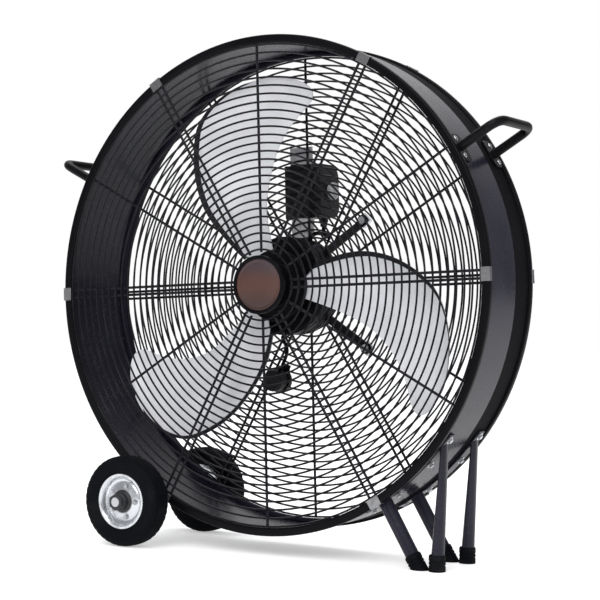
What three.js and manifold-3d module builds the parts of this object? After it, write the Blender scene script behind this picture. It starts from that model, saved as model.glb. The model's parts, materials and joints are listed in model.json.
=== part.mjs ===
// A drum fan that stands on two wheels and a pair of V legs.
// Millimetres, +Z up. The fan faces -Y. The origin lies on the floor, below the middle of the fan.
//
// The drum and all that it holds are drawn about the drum's axis, the line x = z = 0 along Y.
// Angles in the XZ plane are in degrees, from +X towards +Z.

import * as THREE from 'three';
import { mergeVertices } from 'three/addons/utils/BufferGeometryUtils.js';
import Module from 'manifold-3d';

const wasm = await Module();
wasm.setup();

// ---------------------------------------------------------------- driving dimensions

// Gaps
const SEAT = 0.3;              // between pieces that are fastened together
const RUNNING = 0.3;           // round a shaft, an axle or a spindle
const WELD = 0.8;              // how deep crossing wires and welded plates run into each other

// Drum
const DRUM_RADIUS = 410;       // over the edge rims
const DRUM_DEPTH = 166;        // over the edge rims
const DRUM_ROLL = 2.5;         // degrees that the drum sits turned on its stand
const FLOOR_GAP = 32;          // from the floor to the drum's lowest point
const WALL = 2;                // rolled sheet
const RIM_BAND = 14;           // radial width of an edge rim
const RIM_DEPTH = 12;          // axial width of an edge rim
const RIM_LIP = 4.5;           // from the sheet's outer face to the rim's outer face
const RIM_FLOOR = 4;           // thickness of the rim in front of the sheet's edge
const DRUM_FACETS = 48;

// Wire guards
const WIRE = 3;
const GUARD_INSET = 1;         // from the rim's face to the ring wires
const GUARD_RINGS = 6;         // the real guard has about 26 at a finer pitch
const GUARD_SPOKES = 12;
const GUARD_FACETS = 24;
const FRONT_GUARD_HUB = 40;    // radius of the front guard's innermost ring
const BADGE_RADIUS = 48;
const BADGE_PLATE = 4;
const BADGE_LIP = 5.5;         // radial width of the badge's raised edge
const BADGE_LIP_HEIGHT = 5;
const BADGE_DISC = 3.2;

// Motor
const MOTOR_RADIUS = 82.5;
const MOTOR_FRONT = -13;       // the y of the front bell's face
const BELL_DEPTH = 10;
const BELL_WEB = 4;
const BELL_RIM = 7;            // radial
const HOUSING_LENGTH = 32;
const HOUSING_WALL = 3.5;
const MOTOR_FACETS = 24;
const SHAFT_RADIUS = 7.5;
const SHAFT_NOSE = 65;         // how far the shaft reaches in front of the drum's middle
const BEARING_RADIUS = 17.5;
const BEARING_WIDTH = 10;
const BEARING_WALL = 5.5;      // metal round a bearing
const BEARING_STOP = 3;        // lip that holds a bearing in its bell
const ROTOR_RADIUS = 40;
const AIR_GAP = 0.9;
const CORE_LENGTH = 20;
const WINDING_INNER = 45;
const WINDING_OUTER = 70;
const WINDING_LENGTH = 4.5;

// Motor mount
const MOUNT_RADIUS = 152;      // the guard ring that the motor's arms are bolted to
const MOUNT_PLATE = 3;
const MOUNT_RING_INNER = 50;
const MOUNT_ARM_WIDTH = 14;
const MOUNT_EYE = 10;
const MOUNT_ELBOW = 13;        // from an arm's slope to the middle of its eye
const EYE_CLEAR = 1.8;         // from an arm's eye to the guard's rods
const MOUNT_BOLT = 4;
const MOUNT_BOLT_HEAD = 7;
const MOUNT_HEAD_HEIGHT = 4;
const SADDLE = 18;
const SADDLE_CHEEK = 2.5;      // how far the saddle reaches past the guard's ring

// Fan
const BLADES = 3;
const TIP_GAP = 56.5;          // from a blade's tip to the drum's inside
const BLADE_ROOT = 34;
const BLADE_NOTCH = 82;        // where the swept edge starts, past the root's cut corner
const BLADE_FLAT = 107;        // radius out to which a blade is flat
const BLADE_SHEET = 2;
const BLADE_PITCH = 14;
const BLADE_CAMBER = 12;
const BLADE_START = 24.5;      // angle of the swept edge at the hub
const BLADE_SWEEP = 36;        // degrees that the swept edge falls back from root to tip
const BLADE_SWEEP_POWER = 1.8; // how late along the blade it falls back
const BLADE_ROOT_WIDTH = 51;   // degrees
const BLADE_TIP_WIDTH = 37.5;  // degrees, before the tip's rounding
const BLADE_ROUND = 0.16;      // share of the blade's length that the rounded tip takes
const BLADE_TWIST = 90;        // radial length over which the blade turns from flat to full pitch
const BLADE_ROWS = 14;
const HUB_RADIUS = 60;
const HUB_PLATE = 5;
const HUB_PLATE_Y = -32.3;     // rear face of the hub's plate, where the blades are riveted
const HUB_CAP = 40;            // radius of the raised disc on the plate
const HUB_CAP_HEIGHT = 6;
const HUB_BOSS = 24;
const HUB_BOSS_FRONT = 52;
const HUB_BOSS_REAR = -15;
const NUT_RADIUS = 14;
const NUT_HEIGHT = 9;

// Control box, behind the rear guard
const BOX_WIDTH = 72;
const BOX_HEIGHT = 92;
const BOX_DEPTH = 59;
const BOX_ROUND = 22;          // radius of its rear corners
const BOX_WALL = 2.5;
const BOX_BASE = 3;
const BOX_X = -16;
const BOX_Z = 166;
const BRACKET_WIDTH = 44;
const BRACKET_ABOVE = 30;      // from the box's edges to the bracket's ends
const BRACKET_BELOW = 38;
const BRACKET_PLATE = 3;
const KNOB_RADIUS = 15;
const KNOB_HEIGHT = 13;
const KNOB_GRIP = 5;
const DIAL_RADIUS = 20;
const DIAL_PLATE = 1.2;
const SPINDLE_RADIUS = 3;
const SWITCH_WIDTH = 24;
const SWITCH_SIZE = 32;
const SPINDLE_DEPTH = 8;       // how deep the spindle stands in the switch and in the knob
const GLAND_RADIUS = 8;
const GLAND_LENGTH = 14;
const GLAND_SPREAD = 20;
const GLAND_Y = 31;            // from the box's base

// Leads and capacitor
const LEAD_RADIUS = 3.5;
const CAPACITOR_RADIUS = 19;
const CAPACITOR_LENGTH = 33;
const CAPACITOR_ANGLE = -111.3;
const CAPACITOR_OUT = 19;      // from the mounting ring's radius to the capacitor's centre
const CAPACITOR_LEAD = 3;
const CAN_ENTRY_ANGLE = 55;    // side of the capacitor where its lead goes in
const CLIP_WALL = 2;
const CLIP_LENGTH = 12;
const STRAP_PLATE = 3;
const STRAP_WIDTH = 16;
const STRAP_END = 12;          // strap left past the guard ring that it crosses

// Handles
const HANDLE_ANGLE = 29;       // degrees above the drum's own level line
const HANDLE_REACH = 78.5;     // from the drum's outside to the grip's centre line
const HANDLE_TUBE = 7.5;
const HANDLE_BEND = 20;
const HANDLE_FOOT_LENGTH = 44; // round the drum
const HANDLE_FOOT_EDGE = 0.7;  // foot left beside the tube, towards the rim
const HANDLE_FOOT_PLATE = 3.5;

// Wheels
const AXLE_STANDOFF = 27.7;    // from the rims' outside to the axle's centre line
const WHEEL_Y = 117;
const TYRE_RADIUS = 76;
const TYRE_WIDTH = 44;
const TYRE_BEAD = 6;           // slope beside the rim
const TYRE_SHOULDER = 9;
const WHEEL_RIM_RADIUS = 46;
const WHEEL_RIM_WIDTH = 34;
const WHEEL_RIM_WALL = 5;
const WHEEL_HUB = 17;
const WHEEL_HUB_LENGTH = 48;
const WHEEL_WEB = 4;
const WHEEL_FACETS = 24;
const AXLE_RADIUS = 8;
const SPACER_WALL = 3;
const AXLE_NUT_RADIUS = 14;
const AXLE_NUT_WIDTH = 7;
const AXLE_STUB = 0.5;         // axle left proud of its nut
const AXLE_WEB = 5;
const AXLE_WEB_Y = 52;
const AXLE_BOSS = 16;
const AXLE_WEB_FOOT = 40;      // half width where the web meets the drum

// Legs
const LEG_RADIUS = 11;
const LEG_WALL = 1.8;
const LEG_Y = 54;
const LEG_UPRIGHT_ANGLE = -39.25; // where the upright tube meets the drum
const LEG_SLANT_ANGLE = -57;
const LEG_FEET_APART = 30;
const LEG_FACETS = 12;
const PAD_PLATE = 3.5;
const PAD_HALF_ANGLE = 5;
const PAD_WIDTH = 24;
const CAP_WALL = 2;
const CAP_SOLE = 6;
const CAP_HEIGHT = 26;

// ---------------------------------------------------------------- sizes that follow

const half = DRUM_DEPTH / 2;
const wallOuter = DRUM_RADIUS - RIM_LIP;
const wallInner = wallOuter - WALL;
const rimInner = DRUM_RADIUS - RIM_BAND;
const guardY = half - GUARD_INSET - WIRE / 2;
const guardFace = guardY + WIRE / 2;
const spokeY = guardY - WIRE + WELD;
const guardRadius = rimInner - SEAT; // every corner of the guard points at one of the rim
const housingInner = MOTOR_RADIUS - HOUSING_WALL;
const housingFront = MOTOR_FRONT + BELL_DEPTH;
const housingRear = housingFront + HOUSING_LENGTH;
const rearBellFace = housingRear + BELL_DEPTH - SEAT;
const coreFront = (housingFront + housingRear - CORE_LENGTH) / 2;
const mountFront = rearBellFace + SEAT;
const mountRear = mountFront + MOUNT_PLATE;
const eyeRear = spokeY - WIRE / 2 - EYE_CLEAR;
const eyeFront = eyeRear - MOUNT_PLATE;
const boxBaseY = guardFace + SEAT + BRACKET_PLATE + SEAT;
const boxCoverY = boxBaseY + BOX_BASE + SEAT;
const knobY = boxCoverY + BOX_DEPTH / 2;
const boxSide = BOX_X + BOX_WIDTH / 2;
const floorZ = -DRUM_RADIUS - FLOOR_GAP;
const bladeTip = wallInner - TIP_GAP;
const gripRadius = wallOuter + HANDLE_REACH;
const handleSide = half - RIM_DEPTH - SEAT - HANDLE_FOOT_EDGE - HANDLE_TUBE;
const capacitorOrbit = MOUNT_RADIUS + CAPACITOR_OUT;
const wheelZ = floorZ + TYRE_RADIUS;
const axleRadius = DRUM_RADIUS + AXLE_STANDOFF;
const wheelX = -Math.sqrt(axleRadius ** 2 - wheelZ ** 2);
const wheelInnerY = WHEEL_Y - WHEEL_HUB_LENGTH / 2;
const wheelOuterY = WHEEL_Y + WHEEL_HUB_LENGTH / 2;
const uprightX = wallOuter * Math.cos(THREE.MathUtils.degToRad(LEG_UPRIGHT_ANGLE));
const axleEnd = wheelOuterY + SEAT + AXLE_NUT_WIDTH + AXLE_STUB;

// ---------------------------------------------------------------- shape helpers

const rad = THREE.MathUtils.degToRad;

/** The geometry as a solid: positions only, shared corners merged, no empty triangles. */
function toSolid(geometry) {
  const bare = new THREE.BufferGeometry();
  bare.setAttribute('position', geometry.getAttribute('position'));
  bare.setIndex(geometry.getIndex());
  const merged = mergeVertices(bare, 1e-3);
  const corners = merged.getIndex().array;
  const kept = [];
  for (let i = 0; i < corners.length; i += 3) {
    const [a, b, c] = corners.slice(i, i + 3);
    if (a !== b && b !== c && c !== a) kept.push(a, b, c);
  }
  const mesh = new wasm.Mesh({
    numProp: 3,
    vertProperties: new Float32Array(merged.getAttribute('position').array),
    triVerts: new Uint32Array(kept),
  });
  return new wasm.Manifold(mesh);
}

function fromSolid(solid) {
  const mesh = solid.getMesh();
  const geometry = new THREE.BufferGeometry();
  geometry.setAttribute('position', new THREE.Float32BufferAttribute(mesh.vertProperties, 3));
  geometry.setIndex(new THREE.Uint32BufferAttribute(mesh.triVerts, 1));
  return geometry;
}

function join(first, ...others) {
  return fromSolid(others.reduce((sum, other) => sum.add(toSolid(other)), toSolid(first)));
}

function cut(first, ...tools) {
  return fromSolid(tools.reduce((rest, tool) => rest.subtract(toSolid(tool)), toSolid(first)));
}

function common(first, second) {
  return fromSolid(toSolid(first).intersect(toSolid(second)));
}

/** Turns an outline of [radius, y] points round the Y axis. */
function turned(outline, facets) {
  const loop = outline.map(([radius, y]) => new THREE.Vector2(radius, y));
  if (THREE.ShapeUtils.isClockWise(loop)) loop.reverse();
  loop.push(loop[0].clone());
  return fromSolid(toSolid(new THREE.LatheGeometry(loop, facets)));
}

/** A ring or disc along Y. */
function ring(inner, outer, y0, y1, facets) {
  return turned([[inner, y0], [outer, y0], [outer, y1], [inner, y1]], facets);
}

/** A round bar between two points. */
function bar(from, to, radius, facets = 12) {
  const span = new THREE.Vector3().subVectors(to, from);
  const geometry = new THREE.CylinderGeometry(radius, radius, span.length(), facets);
  const turn = new THREE.Quaternion().setFromUnitVectors(
    new THREE.Vector3(0, 1, 0),
    span.clone().normalize(),
  );
  geometry.applyQuaternion(turn);
  const middle = from.clone().addScaledVector(span, 0.5);
  return geometry.translate(middle.x, middle.y, middle.z);
}

/** A box between two corners. */
function block(x0, x1, y0, y1, z0, z1) {
  const geometry = new THREE.BoxGeometry(x1 - x0, y1 - y0, z1 - z0);
  return geometry.translate((x0 + x1) / 2, (y0 + y1) / 2, (z0 + z1) / 2);
}

/** A shape drawn in the XZ plane, filled from y0 to y1. */
function standing(shape, y0, y1, curveSegments = 6) {
  const geometry = new THREE.ExtrudeGeometry(shape, {
    depth: y1 - y0,
    bevelEnabled: false,
    curveSegments,
  });
  return geometry.rotateX(Math.PI / 2).translate(0, y1, 0);
}

/** A shape drawn in the YZ plane, filled from x0 to x1. */
function sideways(shape, x0, x1, curveSegments = 5) {
  const geometry = new THREE.ExtrudeGeometry(shape, {
    depth: x1 - x0,
    bevelEnabled: false,
    curveSegments,
  });
  const turn = new THREE.Matrix4().makeBasis(
    new THREE.Vector3(0, 1, 0),
    new THREE.Vector3(0, 0, 1),
    new THREE.Vector3(1, 0, 0),
  );
  return geometry.applyMatrix4(turn).translate(x0, 0, 0);
}

/** A round section drawn along a curve, closed at both ends. */
function tube(curve, radius, sides, steps) {
  const section = new THREE.Shape();
  for (let side = 0; side < sides; side += 1) {
    const angle = (2 * Math.PI * side) / sides;
    const point = [radius * Math.cos(angle), radius * Math.sin(angle)];
    if (side === 0) section.moveTo(...point);
    else section.lineTo(...point);
  }
  section.closePath();
  return new THREE.ExtrudeGeometry(section, { steps, extrudePath: curve, bevelEnabled: false });
}

/** A point on a circle round the Y axis. */
function onCircle(radius, degrees, y = 0) {
  const angle = rad(degrees);
  return new THREE.Vector3(radius * Math.cos(angle), y, radius * Math.sin(angle));
}

/** Turns a geometry round the Y axis, from +X towards +Z. */
function swing(geometry, degrees) {
  return geometry.rotateY(-rad(degrees));
}

/** The drum's round outside with the seat gap, to cut what lies against it. */
function wallTool(roll = 0) {
  return swing(ring(0, wallOuter + SEAT, -half, half, DRUM_FACETS), roll);
}

/** A plate bent round the drum, before its inner face is cut to the wall. */
function wallPad(degrees, halfAngle, y0, y1) {
  const shape = new THREE.Shape();
  const outer = wallOuter + SEAT + PAD_PLATE;
  const start = rad(degrees - halfAngle);
  const end = rad(degrees + halfAngle);
  shape.absarc(0, 0, outer, start, end, false);
  shape.absarc(0, 0, wallInner, end, start, true);
  shape.closePath();
  return standing(shape, y0, y1, 4);
}

// ---------------------------------------------------------------- drum

function drumShell() {
  const end = half - RIM_FLOOR - SEAT;
  return ring(wallInner, wallOuter, -end, end, DRUM_FACETS);
}

/** A rolled edge with a groove for the sheet; side is -1 in front and 1 at the rear. */
function edgeRim(side) {
  const outline = [
    [rimInner, half],
    [DRUM_RADIUS, half],
    [DRUM_RADIUS, half - RIM_DEPTH],
    [wallOuter + SEAT, half - RIM_DEPTH],
    [wallOuter + SEAT, half - RIM_FLOOR],
    [wallInner - SEAT, half - RIM_FLOOR],
    [wallInner - SEAT, half - RIM_DEPTH],
    [rimInner, half - RIM_DEPTH],
  ];
  return turned(outline.map(([radius, y]) => [radius, side * y]), DRUM_FACETS);
}

/** Ring wires welded on to the outer side of straight spokes. */
function wireGuard(side, ringRadii) {
  const wires = ringRadii.map((radius) => {
    const inner = radius - WIRE;
    return ring(inner, radius, side * guardY - WIRE / 2, side * guardY + WIRE / 2, GUARD_FACETS);
  });
  const inner = ringRadii[0] - WIRE / 2;
  const outer = ringRadii[ringRadii.length - 1] - WIRE / 2;
  for (let spoke = 0; spoke < GUARD_SPOKES; spoke += 1) {
    const y = side * spokeY;
    const wire = block(inner, outer, y - WIRE / 2, y + WIRE / 2, -WIRE / 2, WIRE / 2);
    wires.push(swing(wire, (360 * spoke) / GUARD_SPOKES));
  }
  return join(...wires);
}

/** Ring radii at one pitch, from the innermost ring to the outermost. */
function frontRings() {
  const pitch = (guardRadius - FRONT_GUARD_HUB) / (GUARD_RINGS - 1);
  return Array.from({ length: GUARD_RINGS }, (_, n) => FRONT_GUARD_HUB + n * pitch);
}

/** One ring fewer than in front, with the second where the motor's arms are bolted. */
function rearRings() {
  const second = MOUNT_RADIUS + WIRE / 2;
  const pitch = (guardRadius - second) / (GUARD_RINGS - 3);
  return Array.from({ length: GUARD_RINGS - 1 }, (_, n) => second + (n - 1) * pitch);
}

function badgePlate() {
  const back = -guardFace - SEAT;
  const floor = back - BADGE_PLATE;
  const well = BADGE_RADIUS - BADGE_LIP;
  const outline = [
    [0, back],
    [BADGE_RADIUS, back],
    [BADGE_RADIUS, floor - BADGE_LIP_HEIGHT + 1],
    [BADGE_RADIUS - 1, floor - BADGE_LIP_HEIGHT],
    [well, floor - BADGE_LIP_HEIGHT],
    [well, floor],
    [0, floor],
  ];
  return turned(outline, MOTOR_FACETS);
}

function badgeDisc() {
  const back = -guardFace - SEAT - BADGE_PLATE - SEAT;
  const radius = BADGE_RADIUS - BADGE_LIP - SEAT;
  return ring(0, radius, back - BADGE_DISC, back, MOTOR_FACETS);
}

// ---------------------------------------------------------------- motor

/** An end bell with its bearing pocket open towards the motor. */
function motorBell(face, direction) {
  const at = (depth) => face + direction * depth;
  const pocket = BEARING_RADIUS + SEAT;
  const boss = pocket + BEARING_WALL;
  const deep = BEARING_STOP + BEARING_WIDTH + SEAT;
  const outline = [
    [SHAFT_RADIUS + 2 * RUNNING, at(0)],
    [MOTOR_RADIUS - 3, at(0)],
    [MOTOR_RADIUS, at(3)],
    [MOTOR_RADIUS, at(BELL_DEPTH - SEAT)],
    [MOTOR_RADIUS - BELL_RIM, at(BELL_DEPTH - SEAT)],
    [MOTOR_RADIUS - BELL_RIM, at(BELL_WEB)],
    [boss, at(BELL_WEB)],
    [boss, at(deep)],
    [pocket, at(deep)],
    [pocket, at(BEARING_STOP)],
    [SHAFT_RADIUS + 2 * RUNNING, at(BEARING_STOP)],
  ];
  return turned(outline, MOTOR_FACETS);
}

function motorHousing() {
  return ring(housingInner, MOTOR_RADIUS, housingFront, housingRear - SEAT, MOTOR_FACETS);
}

function statorCore() {
  const inner = ROTOR_RADIUS + AIR_GAP;
  const outer = housingInner - SEAT;
  return ring(inner, outer, coreFront, coreFront + CORE_LENGTH, MOTOR_FACETS);
}

function winding(y0) {
  return ring(WINDING_INNER, WINDING_OUTER, y0, y0 + WINDING_LENGTH, MOTOR_FACETS);
}

function bearing(y0) {
  return ring(SHAFT_RADIUS + RUNNING, BEARING_RADIUS, y0, y0 + BEARING_WIDTH, MOTOR_FACETS);
}

function rotor() {
  const end = coreFront + CORE_LENGTH;
  return ring(SHAFT_RADIUS + SEAT, ROTOR_RADIUS, coreFront, end, MOTOR_FACETS);
}

function motorShaft() {
  const end = rearBellFace - BEARING_STOP;
  return ring(0, SHAFT_RADIUS, -SHAFT_NOSE, end, MOTOR_FACETS);
}

/** An arm of the mount, seen from its edge: flat on the motor, sloping, flat at the guard. */
function mountArm(degrees) {
  const elbow = MOUNT_RADIUS - MOUNT_ELBOW;
  const shape = new THREE.Shape();
  shape.moveTo(MOUNT_RING_INNER + MOUNT_PLATE, mountFront);
  shape.lineTo(MOTOR_RADIUS, mountFront);
  shape.lineTo(elbow, eyeFront);
  shape.lineTo(MOUNT_RADIUS, eyeFront);
  shape.lineTo(MOUNT_RADIUS, eyeRear);
  shape.lineTo(elbow, eyeRear);
  shape.lineTo(MOTOR_RADIUS - MOUNT_PLATE, mountRear);
  shape.lineTo(MOUNT_RING_INNER + MOUNT_PLATE, mountRear);
  shape.closePath();
  const arm = new THREE.ExtrudeGeometry(shape, { depth: MOUNT_ARM_WIDTH, bevelEnabled: false });
  return swing(arm.translate(0, 0, -MOUNT_ARM_WIDTH / 2), degrees);
}

/** A flat ring on the motor's back with four arms that reach the guard's mounting ring. */
function motorMount() {
  const parts = [ring(0, MOTOR_RADIUS, mountFront, mountRear, MOTOR_FACETS)];
  const holes = [ring(0, MOUNT_RING_INNER, mountFront - 1, mountRear + 1, MOTOR_FACETS)];
  for (let arm = 0; arm < 4; arm += 1) {
    const degrees = 45 + 90 * arm;
    const front = onCircle(MOUNT_RADIUS, degrees, eyeFront);
    const rear = onCircle(MOUNT_RADIUS, degrees, eyeRear);
    parts.push(mountArm(degrees));
    parts.push(bar(front, rear, MOUNT_EYE));
    const before = onCircle(MOUNT_RADIUS, degrees, eyeFront - 1);
    const behind = onCircle(MOUNT_RADIUS, degrees, eyeRear + 1);
    holes.push(bar(before, behind, MOUNT_BOLT + SEAT));
  }
  return cut(join(...parts), ...holes);
}

/** A bolt through an arm's eye, with a saddle that straddles the guard's ring wire. */
function mountBolt(degrees) {
  const headFront = eyeFront - SEAT - MOUNT_HEAD_HEIGHT;
  const saddleFront = eyeRear + SEAT;
  const saddleRear = guardFace + SADDLE_CHEEK;
  const head = bar(
    onCircle(MOUNT_RADIUS, degrees, headFront),
    onCircle(MOUNT_RADIUS, degrees, eyeFront - SEAT),
    MOUNT_BOLT_HEAD,
    6,
  );
  const shank = bar(
    onCircle(MOUNT_RADIUS, degrees, headFront + 1),
    onCircle(MOUNT_RADIUS, degrees, saddleFront + 1),
    MOUNT_BOLT,
  );
  const side = SADDLE / 2;
  const from = MOUNT_RADIUS - side;
  const saddle = swing(block(from, from + SADDLE, saddleFront, saddleRear, -side, side), degrees);
  const inner = MOUNT_RADIUS - WIRE / 2 - SEAT;
  const slotFront = guardY - WIRE / 2 - SEAT;
  const slot = ring(inner, inner + WIRE + 2 * SEAT, slotFront, saddleRear + 1, GUARD_FACETS);
  return cut(join(head, shank, saddle), slot);
}

// ---------------------------------------------------------------- fan

function fanHub() {
  const bore = SHAFT_RADIUS + SEAT;
  const plateFront = HUB_PLATE_Y - HUB_PLATE;
  const outline = [
    [bore, -HUB_BOSS_FRONT],
    [HUB_BOSS, -HUB_BOSS_FRONT],
    [HUB_BOSS, plateFront - HUB_CAP_HEIGHT],
    [HUB_CAP, plateFront - HUB_CAP_HEIGHT],
    [HUB_CAP, plateFront],
    [HUB_RADIUS, plateFront],
    [HUB_RADIUS, HUB_PLATE_Y],
    [HUB_BOSS, HUB_PLATE_Y],
    [HUB_BOSS, HUB_BOSS_REAR],
    [bore, HUB_BOSS_REAR],
  ];
  return turned(outline, MOTOR_FACETS);
}

function hubNut() {
  const front = -HUB_BOSS_FRONT - SEAT - NUT_HEIGHT;
  const rear = -HUB_BOSS_FRONT - SEAT;
  const nut = bar(new THREE.Vector3(0, front, 0), new THREE.Vector3(0, rear, 0), NUT_RADIUS, 6);
  return cut(nut, ring(0, SHAFT_RADIUS + SEAT, front - 1, rear + 1, MOTOR_FACETS));
}

/** Where the blade's sheet lies: row runs from root to tip, across from edge to edge. */
function bladePoint(row, across, lift) {
  const corner = THREE.MathUtils.smoothstep(across, 0, 0.5);
  const root = THREE.MathUtils.lerp(BLADE_NOTCH, BLADE_ROOT, corner);
  const radius = THREE.MathUtils.lerp(root, bladeTip, row);
  const along = (radius - BLADE_ROOT) / (bladeTip - BLADE_ROOT);
  const swept = BLADE_SWEEP * along ** BLADE_SWEEP_POWER;
  const full = THREE.MathUtils.lerp(BLADE_TIP_WIDTH, BLADE_ROOT_WIDTH, (1 - along) ** 3);
  const rounding = Math.max(0, (along - 1 + BLADE_ROUND) / BLADE_ROUND);
  const width = full * Math.sqrt(1 - rounding * rounding);
  const degrees = BLADE_START - swept - full / 2 - (across - 0.5) * width;
  const rise = THREE.MathUtils.smoothstep(radius, BLADE_FLAT, BLADE_FLAT + BLADE_TWIST);
  const chord = radius * rad(width);
  const pitch = Math.tan(rad(BLADE_PITCH)) * chord * (across - 0.5);
  const camber = 4 * BLADE_CAMBER * across * (1 - across) * Math.min(1, width / full + 0.2);
  const seat = HUB_PLATE_Y + SEAT + BLADE_SHEET / 2;
  const y = seat + rise * (pitch + camber) + lift * BLADE_SHEET;
  return onCircle(radius, degrees, y);
}

/** One swept blade, flat where it is riveted to the back of the hub's plate. */
function blade(turn) {
  const geometry = new THREE.BoxGeometry(1, 1, 1, BLADE_ROWS, 1, 6);
  const position = geometry.getAttribute('position');
  for (let n = 0; n < position.count; n += 1) {
    const row = THREE.MathUtils.lerp(0, 0.995, position.getX(n) + 0.5);
    const point = bladePoint(row, 0.5 - position.getZ(n), position.getY(n));
    position.setXYZ(n, point.x, point.y, point.z);
  }
  return swing(fromSolid(toSolid(geometry)), turn);
}

// ---------------------------------------------------------------- control box

function boxShape(inset) {
  const front = inset > 0 ? -1 : 0;
  const rear = BOX_DEPTH - inset;
  const side = BOX_HEIGHT / 2 - inset;
  const round = BOX_ROUND - inset;
  const shape = new THREE.Shape();
  shape.moveTo(boxCoverY + front, BOX_Z - side);
  shape.lineTo(boxCoverY + rear - round, BOX_Z - side);
  shape.absarc(boxCoverY + rear - round, BOX_Z - side + round, round, -Math.PI / 2, 0, false);
  shape.absarc(boxCoverY + rear - round, BOX_Z + side - round, round, 0, Math.PI / 2, false);
  shape.lineTo(boxCoverY + front, BOX_Z + side);
  shape.closePath();
  return shape;
}

function spindleBar(x0, x1, radius, facets) {
  return bar(new THREE.Vector3(x0, knobY, BOX_Z), new THREE.Vector3(x1, knobY, BOX_Z), radius, facets);
}

function boxCover() {
  const side = BOX_WIDTH / 2;
  const outside = sideways(boxShape(0), BOX_X - side, BOX_X + side);
  const inside = sideways(boxShape(BOX_WALL), BOX_X - side + BOX_WALL, BOX_X + side - BOX_WALL);
  const hole = spindleBar(boxSide - BOX_WALL - 1, boxSide + 1, SPINDLE_RADIUS + 2 * RUNNING, 12);
  return cut(outside, inside, hole);
}

function boxBase() {
  const side = BOX_WIDTH / 2;
  const rise = BOX_HEIGHT / 2;
  const rear = boxBaseY + BOX_BASE;
  return block(BOX_X - side, BOX_X + side, boxBaseY, rear, BOX_Z - rise, BOX_Z + rise);
}

function boxBracket() {
  const side = BRACKET_WIDTH / 2;
  const low = BOX_Z - BOX_HEIGHT / 2 - BRACKET_BELOW;
  const high = BOX_Z + BOX_HEIGHT / 2 + BRACKET_ABOVE;
  const front = guardFace + SEAT;
  return block(BOX_X - side, BOX_X + side, front, front + BRACKET_PLATE, low, high);
}

function rotarySwitch() {
  const x1 = boxSide - BOX_WALL - SEAT;
  const reach = SWITCH_SIZE / 2;
  const body = block(x1 - SWITCH_WIDTH, x1, knobY - reach, knobY + reach, BOX_Z - reach, BOX_Z + reach);
  const well = spindleBar(x1 - SPINDLE_DEPTH - RUNNING, x1 + 1, SPINDLE_RADIUS + RUNNING, 12);
  return cut(body, well);
}

function switchSpindle() {
  const inner = boxSide - BOX_WALL - SEAT - SPINDLE_DEPTH;
  const outer = boxSide + SEAT + DIAL_PLATE + RUNNING + SPINDLE_DEPTH;
  return spindleBar(inner, outer, SPINDLE_RADIUS, 12);
}

function dialPlate() {
  const x0 = boxSide + SEAT;
  const disc = spindleBar(x0, x0 + DIAL_PLATE, DIAL_RADIUS, 24);
  return cut(disc, spindleBar(x0 - 1, x0 + DIAL_PLATE + 1, SPINDLE_RADIUS + 2 * RUNNING, 12));
}

/** A round knob with a raised grip bar, which points up at rest. */
function speedKnob() {
  const x0 = boxSide + SEAT + DIAL_PLATE + RUNNING;
  const flange = spindleBar(x0, x0 + KNOB_HEIGHT - KNOB_GRIP, KNOB_RADIUS, 20);
  const reach = KNOB_RADIUS - 1;
  const thick = KNOB_GRIP / 2;
  const grip = block(
    x0 + 1,
    x0 + KNOB_HEIGHT,
    knobY - thick,
    knobY + thick,
    BOX_Z - reach,
    BOX_Z + reach,
  );
  const well = spindleBar(x0 - 1, x0 + SPINDLE_DEPTH + SEAT, SPINDLE_RADIUS + SEAT, 12);
  return cut(join(flange, grip), well);
}

function gland(x) {
  const top = BOX_Z - BOX_HEIGHT / 2 - SEAT;
  const y = boxCoverY + GLAND_Y;
  const collar = bar(
    new THREE.Vector3(x, y, top - GLAND_LENGTH / 2),
    new THREE.Vector3(x, y, top),
    GLAND_RADIUS,
    6,
  );
  const nose = bar(
    new THREE.Vector3(x, y, top - GLAND_LENGTH),
    new THREE.Vector3(x, y, top - 1),
    GLAND_RADIUS - 2,
  );
  return join(collar, nose);
}

// ---------------------------------------------------------------- leads and capacitor

/** The lead from the control box through the rear guard to the motor's housing. */
function motorLead() {
  const x = BOX_X + GLAND_SPREAD;
  const y = boxCoverY + GLAND_Y;
  const top = BOX_Z - BOX_HEIGHT / 2 - SEAT - GLAND_LENGTH - SEAT;
  const entryY = housingRear - 17;
  const points = [
    new THREE.Vector3(x, y, top),
    new THREE.Vector3(x, y, top - 4),
    new THREE.Vector3(x, y, top - 8),
    new THREE.Vector3(x + 22, y - 18, top - 19),
    onCircle(MOTOR_RADIUS + 9, 67, guardY - 1),
    onCircle(MOTOR_RADIUS + 14, 65, mountRear + 12),
    onCircle(MOTOR_RADIUS + 15, 63, housingRear - 4),
    onCircle(MOTOR_RADIUS + 9, 62, entryY),
    onCircle(MOTOR_RADIUS + 5, 62, entryY),
    onCircle(MOTOR_RADIUS + 2 * SEAT, 62, entryY),
  ];
  return tube(new THREE.CatmullRomCurve3(points), LEAD_RADIUS, 6, 20);
}

const canCentre = onCircle(capacitorOrbit, CAPACITOR_ANGLE);
const strapFront = guardY - WIRE / 2 - SEAT - STRAP_PLATE;
const canRear = strapFront - SEAT;

function capacitor() {
  const can = ring(0, CAPACITOR_RADIUS, canRear - CAPACITOR_LENGTH, canRear, 20);
  return can.translate(canCentre.x, 0, canCentre.z);
}

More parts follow.
